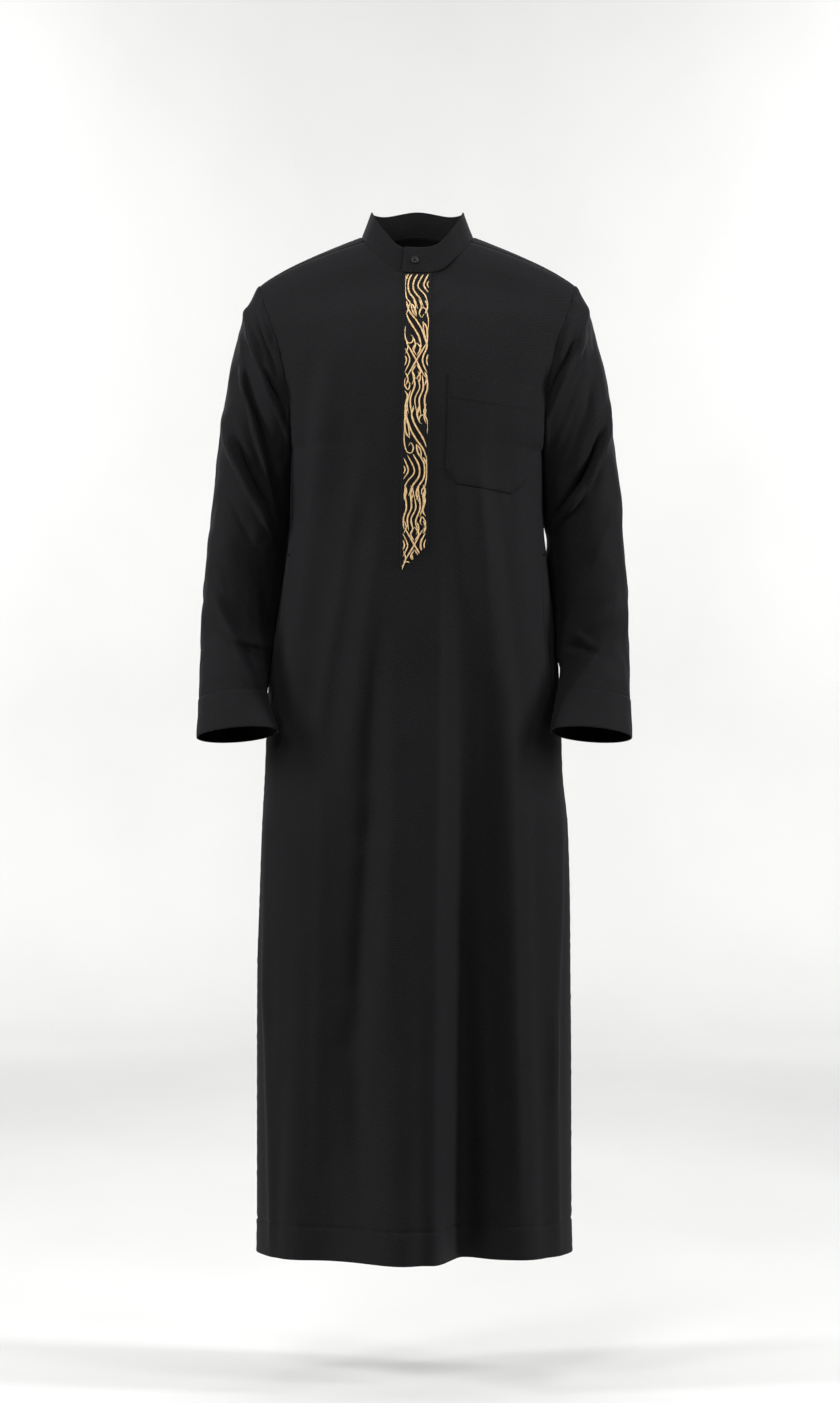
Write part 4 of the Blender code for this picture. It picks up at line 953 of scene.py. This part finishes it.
start, end = float(neckAngle(-collarForm["lap"])), 360 + float(neckAngle(collarForm["underTo"]))
angles = np.concatenate([[start, start + 0.5, start + 1.5], np.linspace(start + 3, end - 3, 170),
                         [end - 1, end]])
ups = np.array([0, 0.015, 0.05, 0.1, 0.2, 0.3, 0.4, 0.5, 0.6, 0.7, 0.8, 0.9, 0.95, 0.985, 1.0])
angle, up = np.meshgrid(angles, ups)
signed = (angle + 180) % 360 - 180
lift = collarLift(angle)
collarPoints = collarPoint(signed, up, lift)
normals = collarNormals(signed, up, lift)
edge = np.minimum(up, 1 - up) * collarForm["height"]
side = np.minimum(angle - start, end - angle) * 1.2
sink = dip(edge, 0.55, 0.8) + dip(side, 0.5, 1.0)
sink = sink + dip(angle - 360 - start + 0.8, 0.9, 1.3)     # pressed in beside the lap
sink = sink + unevenness(angle * 1.2, up * 35, 51, ((60, 0.35), (28, 0.15))) * ease(edge / 6)
collarPoints = collarPoints - normals * sink[..., None]
cloth["collar"] = clothGrid("collarBand", collarPoints, twillAcross, collarForm["thick"], False)
print("collar made")

# Placket, its backing and the pocket


def placketSpan(over):
    # heights of the strip's top and bottom at a place across it, from 0 at the thobe's right edge
    x = -placketForm["right"] + (placketForm["right"] + placketForm["left"]) * over
    foot = collarPoint(neckAngle(x), np.zeros_like(x), collarForm["lift"])[..., 2]
    slant = placketForm["tip"] - placketForm["shoulder"]
    return x, foot - placketForm["tuck"], slant * over - placketForm["tip"]


overs = np.concatenate([[0, 0.03], np.linspace(0.08, 0.92, 13), [0.97, 1]])
downs = np.concatenate([np.linspace(0, 0.985, 190), [0.993, 0.998, 1]])
over, down = np.meshgrid(overs, downs)
x, top, bottom = placketSpan(over)
z = top + (bottom - top) * down
wide, high = placketForm["span"]
edge = np.minimum(np.minimum(over, 1 - over) * wide, (1 - down) * high)
rise = placketForm["lift"] + placketForm["thick"] - dip(edge, 0.45, 0.7)
rise = rise + unevenness(z, z * 0, 61, ((48, 0.3), (21, 0.15))) * 0.4
points, normals = laidOnFront(x + lean(z), z, rise)
cloth["placket_over"] = clothGrid("placketStrip", points, twill, placketForm["thick"], True)

backingForm = {"top": 72, "length": 372, "width": 24, "behind": 0.6}
over, down = np.meshgrid(np.linspace(0, 1, 5), np.linspace(0, 1, 90))
z = -backingForm["top"] - backingForm["length"] * down
points, normals = laidOnFront((over - 0.5) * backingForm["width"] + lean(z), z,
                              -(panelForm["thick"] + backingForm["behind"]))
cloth["placket_under"] = clothGrid("placketBacking", points, twill, placketForm["thick"], True)

pocketForm = {
    "top": ((42.0, -196.0), (152.5, -209.0)), "foot": ((37.0, -341.5), (146.0, -357.5)),
    "cut": 0.15, "cutFrom": 0.87, "turn": 33.0, "turnExtra": 0.5,
    "thick": 1.1, "lift": 0.35, "gape": 1.3, "stitchIn": 2.2,
    "span": (110, 146),      # width and height
    "sag": 2.2,              # the open top edge hangs a little
}


def pocketPlace(over, down):
    cut = pocketForm["cut"] * np.maximum(0, (down - pocketForm["cutFrom"]) / (1 - pocketForm["cutFrom"]))
    over = cut + (1 - 2 * cut) * over
    (ax, az), (bx, bz) = pocketForm["top"]
    (cx, cz), (dx, dz) = pocketForm["foot"]
    x = (ax + (bx - ax) * over) * (1 - down) + (cx + (dx - cx) * over) * down
    z = (az + (bz - az) * over) * (1 - down) + (cz + (dz - cz) * over) * down
    return x, z - pocketForm["sag"] * np.sin(pi * over) * (1 - down) ** 3


def pocketRise(over, down):
    wide, high = pocketForm["span"]
    band = pocketForm["turn"] / high
    rise = pocketForm["lift"] + pocketForm["thick"]
    rise = rise + pocketForm["turnExtra"] * ease((band - down) / 0.012)
    rise = rise + pocketForm["gape"] * np.sin(pi * over) ** 2 * (1 - down) ** 3
    edge = np.minimum(np.minimum(over, 1 - over) * wide, (1 - down) * high)
    rise = rise - dip(edge, 0.5, 0.8) + 0.25 * ease((edge - 2) / 4)
    return rise + unevenness(over * wide, down * high, 71, ((70, 0.35), (30, 0.2))) * ease(edge / 10)


overs = np.concatenate([[0, 0.006, 0.02], np.linspace(0.05, 0.95, 34), [0.98, 0.994, 1]])
downs = np.concatenate([[0, 0.004, 0.012], np.linspace(0.03, 0.21, 9), [0.217, 0.223, 0.229, 0.235],
                        np.linspace(0.25, 0.98, 34), [0.987, 0.995, 1]])
over, down = np.meshgrid(overs, downs)
x, z = pocketPlace(over, down)
points, normals = laidOnFront(x, z, pocketRise(over, down))
cloth["chest_pocket"] = clothGrid("chestPocket", points, twill, pocketForm["thick"], True)
print("placket and pocket made")

# Sewing

stitchLook = {
    "pitch": 3.4, "length": 2.5, "radius": 0.26, "proud": 0.12,
    "fine": 0.24,                     # radius of the buttonhole's thread
    "sides": 5,                       # of a thread
    "cuffIn": 3.0,                    # from the cuff's seam
    "tackLength": 7, "tackWidth": 2.0,
}
sewnCorners, sewnFaces = [], []


def addTube(path, radii, up, corners, faces):
    # a closed tube along a path
    path, up = np.asarray(path, float), np.asarray(up, float)
    ahead = unit(np.gradient(path, axis=0))
    beside = unit(np.cross(ahead, up))
    lift = np.cross(beside, ahead)
    sides = stitchLook["sides"]
    turn = np.linspace(0, 2 * pi, sides, endpoint=False)
    first = sum(len(c) for c in corners)
    ring = beside[:, None] * np.cos(turn)[None, :, None] + lift[:, None] * np.sin(turn)[None, :, None]
    corners.append((path[:, None] + ring * np.asarray(radii)[:, None, None]).reshape(-1, 3))
    quads = gridFaces(len(path), sides, closed=True) + first
    faces.extend(quads.tolist())
    faces.append([first + k for k in range(sides)][::-1])
    faces.append([first + (len(path) - 1) * sides + k for k in range(sides)])


def sew(path, up):
    # a row of lockstitches along a path on the cloth
    pitch = stitchLook["pitch"]
    run = lengthsAlong(path, 0)
    for at in np.arange(pitch, run[-1] - pitch, pitch):
        spans = at + np.array([-0.5, -0.3, 0, 0.3, 0.5]) * stitchLook["length"]
        place = np.stack([np.interp(spans, run, path[:, k]) for k in range(3)], -1)
        lift = unit(np.stack([np.interp(spans, run, up[:, k]) for k in range(3)], -1))
        height = stitchLook["proud"] - np.array([0.35, 0.08, 0, 0.08, 0.35])
        addTube(place + lift * height[:, None], stitchLook["radius"] * np.array([0.5, 1, 1, 1, 0.5]),
                lift, sewnCorners, sewnFaces)


def barTack(centre, up, ahead):
    # dense stitches across the end of an opening
    across = unit(np.cross(up, ahead))
    for k in np.arange(-0.5, 0.5, 0.07):
        path = [centre + ahead * stitchLook["tackLength"] * k + across * stitchLook["tackWidth"] * w + up * h
                for w, h in ((-0.5, 0.0), (-0.2, 0.35), (0.2, 0.35), (0.5, 0.0))]
        addTube(path, np.full(4, stitchLook["radius"]), np.tile(up, (4, 1)), sewnCorners, sewnFaces)


# along both edges of the placket
inset = placketForm["edgeStitch"] / wide
for edgeAt, last in ((inset, 0.985), (1 - inset, 0.98)):
    down = np.linspace(0.004, last, 260)
    x, top, bottom = placketSpan(np.full(down.shape, edgeAt))
    z = top + (bottom - top) * down
    path, up = laidOnFront(x + lean(z), z, placketForm["lift"] + placketForm["thick"])
    sew(path, up)
# round the pocket and along its turned band
corner = pocketForm["stitchIn"] / pocketForm["span"][0]
for line in (
        [(corner, 0.01), (corner, pocketForm["cutFrom"]), (corner, 1 - 0.016), (1 - corner, 1 - 0.016),
         (1 - corner, pocketForm["cutFrom"]), (1 - corner, 0.01)],
        [(corner, 0.208), (1 - corner, 0.208)]):
    line = np.array(line)
    steps = np.linspace(0, len(line) - 1, 60 * (len(line) - 1) + 1)
    over = np.interp(steps, np.arange(len(line)), line[:, 0])
    down = np.interp(steps, np.arange(len(line)), line[:, 1])
    x, z = pocketPlace(over, down)
    path, up = laidOnFront(x, z, pocketRise(over, down))
    sew(path, up)
# the hem and the cuffs' seams
for points in (frontPoints, backPoints):
    normals = gridNormals(points)
    inMiddle = (-5, points.shape[1] // 2, 1)
    if normals[inMiddle] * points[inMiddle] < 0:
        normals = -normals
    row = int(np.argmin(np.abs(points[:, 10, 2] + panelForm["hem"] - panelForm["hemTurn"])))
    sew(points[row], normals[row])
for word in ("left", "right"):
    points, normals, down = cuffLines[word]
    row = int(np.argmin(np.abs(down[:, 0] - stitchLook["cuffIn"])))
    ring = np.concatenate([points[row], points[row, :1]])
    sew(ring, np.concatenate([normals[row], normals[row, :1]]))
print("sewn", len(sewnFaces), "faces")

# the pocket mouths in the side seams, held at both ends by bar tacks
mouthForm = {
    "x0": 170.5, "z0": -436.0, "x1": 180.5, "z1": -642.0,
    "rightOut": 4, "rightFlare": 15,  # how much further out the right one starts and ends
    "lip": ((-3.0, 0.15), (-1.5, 0.6), (0.4, 0.9), (1.5, 0.75), (1.9, 0.2)),
    "thick": 0.6,
}
mouths = {}
for word, side in (("Left", 1), ("Right", -1)):
    t = np.linspace(0, 1, 60)
    x = mouthForm["x0"] + (mouthForm["x1"] - mouthForm["x0"]) * t
    x = side * (x + (mouthForm["rightOut"] + mouthForm["rightFlare"] * t if side < 0 else 0))
    z = mouthForm["z0"] + (mouthForm["z1"] - mouthForm["z0"]) * t
    belly = np.sin(pi * t) ** 0.7
    lip = []
    for off, rise in mouthForm["lip"]:
        path, up = laidOnFront(x + side * off * (0.35 + 0.65 * belly), z, rise * (0.3 + 0.7 * belly))
        lip.append(path)
        if len(lip) == 1:
            sew(path - up * 0.1, up)
    mouths[word] = clothGrid("pocketMouth" + word, np.stack(lip, 1), twill, mouthForm["thick"], side > 0)
    for k in (0, -1):
        path, up = laidOnFront(x[[k]] - side * 0.5, z[[k]], 0.3)
        barTack(path[0], up[0], np.array([0.9 * side, 0, 0.3]) / 0.95)
# the button and its hole, on the end of the collar
buttonForm = {
    "x": -3.4, "z": -38.0, "seat": 0.5,
    "hole": 14.0, "holeHalf": 1.1, "holeShift": 1.5,   # of the buttonhole: length, half height, shift
    "threadAt": 1.25,                                  # the four small holes, from the middle
    "ring": 48,
}
angle = neckAngle(buttonForm["x"])
for _ in range(4):
    foot = collarPoint(angle, 0.0, collarForm["lift"])[2]
    up = (buttonForm["z"] - foot) / collarForm["height"]
    angle = angle + (buttonForm["x"] - collarPoint(angle, up, collarForm["lift"])[0]) / neckForm["half"] * 57
seat = collarPoint(angle, up, collarForm["lift"])
facing = collarNormals(angle, up, collarForm["lift"])
sideways = unit(np.cross(np.array([0, 0, 1.0]), facing))
upright = np.cross(facing, sideways)
for k in np.linspace(0, 2 * pi, 46, endpoint=False):
    centre = seat + sideways * (buttonForm["hole"] / 2 * np.cos(k) - buttonForm["holeShift"])
    centre = centre + upright * buttonForm["holeHalf"] * np.sin(k) * (1 - 0.5 * abs(np.cos(k)))
    out = unit(sideways * np.cos(k) * 0.35 + upright * np.sign(np.sin(k) + 1e-6))
    path = [centre - out * 0.7 + facing * -0.1, centre + facing * 0.28, centre + out * 0.8 - facing * 0.1]
    addTube(path, np.full(3, stitchLook["fine"]), np.tile(facing, (3, 1)), sewnCorners, sewnFaces)
sewing = meshPiece("blackStitching", np.concatenate(sewnCorners), sewnFaces, blackThread)
print("sewing made", len(sewing.data.polygons), "faces")

# radius and height of the button's profile, from the middle behind, over the rim, to the sunk middle
buttonProfile = [
    (0.001, 0.0), (4.3, 0.0), (5.0, 0.35), (5.25, 1.0), (5.1, 1.75), (4.6, 2.3), (4.0, 2.35),
    (3.4, 2.05), (2.9, 1.65), (1.5, 1.5), (0.001, 1.45),
]
turnSteps = np.linspace(0, 2 * pi, buttonForm["ring"], endpoint=False)
corners = [sideways * r * np.cos(a) + upright * r * np.sin(a) + facing * h
           for r, h in buttonProfile for a in turnSteps]
corners = np.array(corners) + seat + facing * buttonForm["seat"]
button = meshPiece("collarButton", corners, gridFaces(len(buttonProfile), len(turnSteps), closed=True),
                   turnedHorn("blackHornButton"))
button.modifiers.new("smooth", "SUBSURF").levels = 1
button.modifiers["smooth"].render_levels = 1
threadCorners, threadFaces = [], []
holeAt = buttonForm["threadAt"]
for first, second in (((-1, -1), (1, 1)), ((1, -1), (-1, 1))):
    for shift in (-0.22, 0.22):
        ends = [sideways * holeAt * f[0] + upright * (holeAt * f[1] + shift) for f in (first, second)]
        path = [seat + facing * (buttonForm["seat"] + h) + ends[0] * (1 - t) + ends[1] * t
                for t, h in ((0, 1.3), (0.08, 1.75), (0.5, 1.95), (0.92, 1.75), (1, 1.3))]
        addTube(path, np.full(5, stitchLook["fine"]), np.tile(facing, (5, 1)), threadCorners, threadFaces)
buttonThread = meshPiece("buttonThread", np.concatenate(threadCorners), threadFaces, blackThread)
print("button made")

# Embroidery: a generic vine scroll, whose stems, curls, leaves and buds wander down the strip

vineForm = {
    "width": 31.5,          # of the worked strip
    "cell": 50.0,           # length of one motif, stretched a little from one to the next
    "stroke": 2.35, "thin": 1.8,
    "height": 1.2,          # how much a stroke stands up from the cloth
    "top": 57.0,            # depth of the first motif under the neck
    "end": 400.0,
}
# strokes through places, -1 to 1 across the strip and 0 to 1 down the motif
vineMotifs = {
    "scroll": [
        ("stroke", (-0.92, -0.06), (-0.62, 0.16), (0.02, 0.42), (0.5, 0.68), (0.86, 1.06)),
        ("stroke", (-0.93, 0.2), (-0.66, 0.4), (-0.16, 0.64), (0.2, 0.84), (0.4, 1.08)),
        ("thin", (0.96, 0.66), (0.97, 0.34), (0.74, 0.1), (0.34, 0.07), (0.2, 0.2), (0.42, 0.31),
         (0.62, 0.22)),
        ("thin", (-0.96, 0.52), (-0.97, 0.8), (-0.72, 0.97), (-0.36, 0.95), (-0.3, 0.82), (-0.52, 0.76)),
        ("stroke", (0.5, 0.42), (0.86, 0.6), (0.93, 0.98)),
        ("thin", (0.5, 0.42), (0.64, 0.74), (0.93, 0.98)),
        ("stroke", (-0.5, -0.06), (-0.2, 0.08), (-0.06, 0.28)),
        ("thin", (-0.5, -0.06), (-0.4, 0.14), (-0.06, 0.28)),
    ],
    "wave": [
        ("stroke", (-0.2, -0.06), (-0.72, 0.22), (-0.74, 0.56), (-0.22, 0.84), (0.06, 1.1)),
        ("stroke", (0.22, -0.04), (-0.28, 0.26), (-0.3, 0.54), (0.24, 0.8), (0.56, 1.06)),
        ("thin", (0.7, -0.02), (0.16, 0.3), (0.14, 0.48), (0.74, 0.72), (0.94, 1.02)),
        ("stroke", (0.95, 0.06), (0.62, 0.3), (0.6, 0.44), (0.96, 0.62)),
        ("thin", (0.97, 0.26), (0.84, 0.37), (0.97, 0.48)),
        ("thin", (-0.95, 0.0), (-0.98, 0.5), (-0.86, 0.78), (-0.6, 0.9), (-0.62, 1.02), (-0.86, 1.0),
         (-0.84, 0.88)),
        ("thin", (-0.62, 0.04), (-0.8, 0.1), (-0.93, 0.24)),
    ],
    "bud": [
        ("stroke", (-0.88, -0.04), (-0.52, 0.16), (0.02, 0.5), (0.5, 0.84), (0.88, 1.04)),
        ("stroke", (0.88, -0.04), (0.5, 0.18), (-0.02, 0.5), (-0.52, 0.82), (-0.88, 1.04)),
        ("thin", (0.0, -0.04), (0.32, 0.14), (0.0, 0.36)),
        ("thin", (0.0, -0.04), (-0.32, 0.14), (0.0, 0.36)),
        ("stroke", (0.02, 0.62), (0.36, 0.84), (0.0, 1.06)),
        ("thin", (0.02, 0.62), (-0.3, 0.84), (0.0, 1.06)),
        ("thin", (-0.96, 0.12), (-0.58, 0.4), (-0.6, 0.58), (-0.96, 0.86)),
        ("stroke", (0.96, 0.1), (0.6, 0.38), (0.6, 0.6), (0.96, 0.88)),
        ("thin", (-0.97, 0.34), (-0.84, 0.48), (-0.97, 0.66)),
        ("thin", (0.97, 0.3), (0.84, 0.5), (0.97, 0.68)),
    ],
    "reed": [
        ("stroke", (-0.9, -0.02), (-0.94, 0.3), (-0.72, 0.6), (-0.84, 1.04)),
        ("stroke", (-0.52, -0.06), (-0.62, 0.3), (-0.3, 0.62), (-0.46, 1.04)),
        ("thin", (-0.1, 0.0), (-0.3, 0.28), (0.08, 0.6), (-0.1, 0.98)),
        ("stroke", (0.3, -0.06), (0.1, 0.22), (0.46, 0.6), (0.3, 1.06)),
        ("thin", (0.9, 0.02), (0.94, 0.2), (0.64, 0.34), (0.5, 0.18), (0.7, 0.1)),
        ("stroke", (0.95, 0.36), (0.72, 0.52), (0.9, 0.8), (0.7, 1.04)),
        ("thin", (0.42, 0.34), (0.72, 0.7), (0.6, 0.98)),
    ],
}
# short strokes that tie each motif to the next
vineTies = [
    ("thin", (0.12, 0.82), (0.34, 1.0), (0.2, 1.22)),
    ("thin", (-0.34, 0.8), (-0.12, 1.02), (-0.36, 1.24)),
    ("stroke", (0.72, 0.84), (0.9, 1.04), (0.72, 1.26)),
    ("thin", (-0.92, 0.86), (-0.7, 1.06), (-0.9, 1.26)),
]
# motif, mirrored across, turned upside down, stretch
vineOrder = [
    ("wave", 1, False, 0.96), ("scroll", 1, False, 1.06), ("bud", 1, False, 0.9), ("reed", -1, False, 1.0),
    ("scroll", -1, True, 1.1), ("wave", -1, False, 1.02), ("reed", 1, True, 0.94), ("bud", 1, True, 0.86),
    ("scroll", 1, True, 1.08),
]
strokes = []      # places across (s) and down (t) the strip in millimetres, widths, layer


def throughPlaces(places):
    # a smooth line through its places
    p = np.array(places, float)
    p = np.concatenate([2 * p[:1] - p[1:2], p, 2 * p[-1:] - p[-2:-1]])
    q = np.linspace(0, 1, 14)[:-1, None]
    lines = [0.5 * (2 * b + (c - a) * q + (2 * a - 5 * b + 4 * c - d) * q**2
                    + (3 * b - a - 3 * c + d) * q**3)
             for a, b, c, d in zip(p[:-3], p[1:-2], p[2:-1], p[3:])]
    return np.concatenate([*lines, p[-2:-1]])


def addStroke(s, t, width, layer):
    run = np.concatenate([[0], np.cumsum(np.hypot(np.diff(s), np.diff(t)))])
    even = np.linspace(0, run[-1], max(6, int(run[-1] / 0.8)))
    s, t, k = np.interp(even, run, s), np.interp(even, run, t), even / run[-1]
    w = width * (0.4 + 0.6 * ease(k / 0.22)) * (0.35 + 0.65 * ease((1 - k) / 0.3))
    strokes.append((s, t, w, layer))


half = vineForm["width"] / 2
dice = np.random.default_rng(17)
startAt = -2.0
for name, mirror, upside, stretch in vineOrder:
    long = vineForm["cell"] * stretch
    for n, (kind, *places) in enumerate(vineMotifs[name] + vineTies):
        line = throughPlaces(places)
        across = mirror * line[:, 0] * half + dice.uniform(-0.5, 0.5)
        down = (1 - line[:, 1] if upside else line[:, 1]) * long
        addStroke(across, startAt + down, vineForm[kind] * dice.uniform(0.9, 1.12), 0.12 * (n % 3))
    startAt += long


def insideStrip(s, t):
    # 0 outside the worked outline, 1 well inside: a slanting end, the top and both sides
    over = (s + half) / (2 * half)
    last = placketForm["tip"] - vineForm["top"] + 2.5 - (placketForm["tip"] - placketForm["shoulder"]) * over
    room = np.minimum(np.minimum(half + 0.3 - np.abs(s), t - 0.6), last - t)
    return ease(room / 1.2)


goldCorners, goldFaces, goldUv = [], [], []
laidS = np.linspace(-half, half, 9)
laidT = np.linspace(-2, vineForm["end"] + 6, 300)
gridS, gridT = np.meshgrid(laidS, laidT)
gridZ = -vineForm["top"] - gridT
strip, stripUp = laidOnFront(gridS + lean(gridZ), gridZ, placketForm["lift"] + placketForm["thick"])


def onStrip(values, s, t):
    # bilinear look-up on the strip's own surface
    i = np.clip((t - laidT[0]) / (laidT[1] - laidT[0]), 0, len(laidT) - 1.001)
    j = np.clip((s - laidS[0]) / (laidS[1] - laidS[0]), 0, len(laidS) - 1.001)
    i0, j0 = i.astype(int), j.astype(int)
    a, b = (i - i0)[:, None], (j - j0)[:, None]
    return (values[i0, j0] * (1 - a) * (1 - b) + values[i0 + 1, j0] * a * (1 - b)
            + values[i0, j0 + 1] * (1 - a) * b + values[i0 + 1, j0 + 1] * a * b)


profile = np.linspace(0, pi, 7)
for s, t, width, layer in strokes:
    keep = insideStrip(s, t)
    parts = np.split(np.arange(len(s)), np.flatnonzero(np.diff((keep > 0.02).astype(int))) + 1)
    for part in parts:
        if len(part) < 5 or keep[part[0]] <= 0.02:
            continue
        ps, pt, pw = s[part], t[part], width[part] * (0.3 + 0.7 * keep[part])
        run = np.concatenate([[0], np.cumsum(np.hypot(np.diff(ps), np.diff(pt)))])
        tip = ease(np.minimum(run, run[-1] - run) / 1.6)
        pw = pw * (0.35 + 0.65 * tip)
        place, up = onStrip(strip, ps, pt), unit(onStrip(stripUp, ps, pt))
        ahead = unit(np.gradient(place, axis=0))
        beside = np.cross(ahead, up)
        high = (vineForm["height"] * (pw / vineForm["stroke"]) ** 0.6 + layer) * (0.25 + 0.75 * tip)
        ring = (place[:, None] + beside[:, None] * (np.cos(profile)[None, :, None] * pw[:, None, None] / 2)
                + up[:, None] * (np.sin(profile)[None, :, None] ** 0.8 * high[:, None, None] - 0.05))
        first = sum(len(c) for c in goldCorners)
        goldCorners.append(ring.reshape(-1, 3))
        goldFaces.extend((gridFaces(len(ps), len(profile)) + first)[:, ::-1].tolist())
        aside = np.cos(profile)[None] * pw[:, None] / 2
        goldUv.append(np.stack(np.broadcast_arrays(run[:, None], aside), -1).reshape(-1, 2))
embroidery = meshPiece("goldEmbroidery", np.concatenate(goldCorners), goldFaces, goldThread,
                       np.concatenate(goldUv))
print("embroidery made", len(embroidery.data.polygons), "faces")

# What each piece rides on and stands for

for node, piece in cloth.items():
    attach(piece, "root")
    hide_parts(node)
for piece in (sewing, embroidery, buttonThread, *mouths.values()):
    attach(piece, "root")
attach(button, "root")
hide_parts("collar_button")
print("pieces placed")

# Floor, light and camera

studio = {
    "floor": -1.56, "paperHalf": 1.5, "paperFrom": -0.4, "backdropAt": 6.6, "backdropHigh": 3.6,
    "bend": 0.9, "world": 0.07, "camera": (0.0034, -5.5, -0.635), "focal": 103.0,
}
sweep = [(studio["paperFrom"], 0.0)]
bend = studio["bend"]
for a in np.linspace(0, pi / 2, 12):
    sweep.append((studio["backdropAt"] - bend + bend * np.sin(a), bend - bend * np.cos(a)))
sweep.append((studio["backdropAt"], studio["backdropHigh"]))
corners = [(x * 1000, y * 1000, (studio["floor"] + h) * 1000) for y, h in sweep
           for x in (-studio["paperHalf"], studio["paperHalf"])]
faces = [[2 * k, 2 * k + 1, 2 * k + 3, 2 * k + 2] for k in range(len(sweep) - 1)]
paper = meshPiece("paperSweep", corners, faces, matPaper("whitePaper", "#ECECEB", "#E0E0DF"))

world = bpy.data.worlds.new("studioAir")
bpy.context.scene.world = world
world.use_nodes = True
world.node_tree.nodes["Background"].inputs["Color"].default_value = (1, 1, 1, 1)
world.node_tree.nodes["Background"].inputs["Strength"].default_value = studio["world"]

# name: place, what it faces, width and height, watts
lamps = {
    "keyFront": ((-0.7, -2.9, 1.1), (0, 0, -0.7), (0.9, 0.7), 35),
    "keyLeft": ((-2.1, -2.3, 1.2), (0, 0, -0.65), (0.8, 0.9), 30),
    "keyRight": ((2.4, -1.9, 0.8), (0, 0, -0.65), (0.7, 1.2), 22),
    "sideLeft": ((-3.0, -0.7, 0.4), (0, 0, -0.6), (0.5, 1.8), 62),
    "sideRight": ((3.0, -0.7, 0.4), (0, 0, -0.6), (0.5, 1.8), 74),
    "topSoftbox": ((0, 0.2, 2.4), (0, 0.8, -1.5), (2.0, 0.8), 32),
    "backLeft": ((-1.9, 3.0, 0.8), (0, 0, -0.6), (0.6, 1.6), 26),
    "backRight": ((1.9, 3.0, 0.8), (0, 0, -0.6), (0.6, 1.6), 26),
    "floorSoftbox": ((0, 3.2, 2.4), (0, 3.2, -1.5), (2.0, 3.0), 36),
    "backdropLeft": ((-2.6, 5.0, 0.7), (0.2, 6.6, 0.0), (0.8, 3.0), 62),
    "backdropRight": ((2.6, 5.0, 0.7), (-0.2, 6.6, 0.0), (0.8, 3.0), 62),
}
for name, (place, goal, size, watts) in lamps.items():
    lamp = bpy.data.lights.new(name, "AREA")
    lamp.shape = "RECTANGLE"
    lamp.size, lamp.size_y = size
    lamp.energy = watts
    holder = bpy.data.objects.new(name, lamp)
    holder.location = place
    holder.rotation_euler = (Vector(goal) - Vector(place)).to_track_quat("-Z", "Y").to_euler()
    bpy.context.scene.collection.objects.link(holder)

lens = bpy.data.cameras.new("photoCamera")
lens.sensor_fit = "VERTICAL"
lens.sensor_height = 36.0
lens.lens = studio["focal"]
lens.clip_end = 60
camera = bpy.data.objects.new("photoCamera", lens)
camera.location = studio["camera"]
camera.rotation_euler = (radians(90), 0, 0)
bpy.context.scene.collection.objects.link(camera)
bpy.context.scene.camera = camera
bpy.context.scene.view_settings.view_transform = "Standard"

print("studio set")
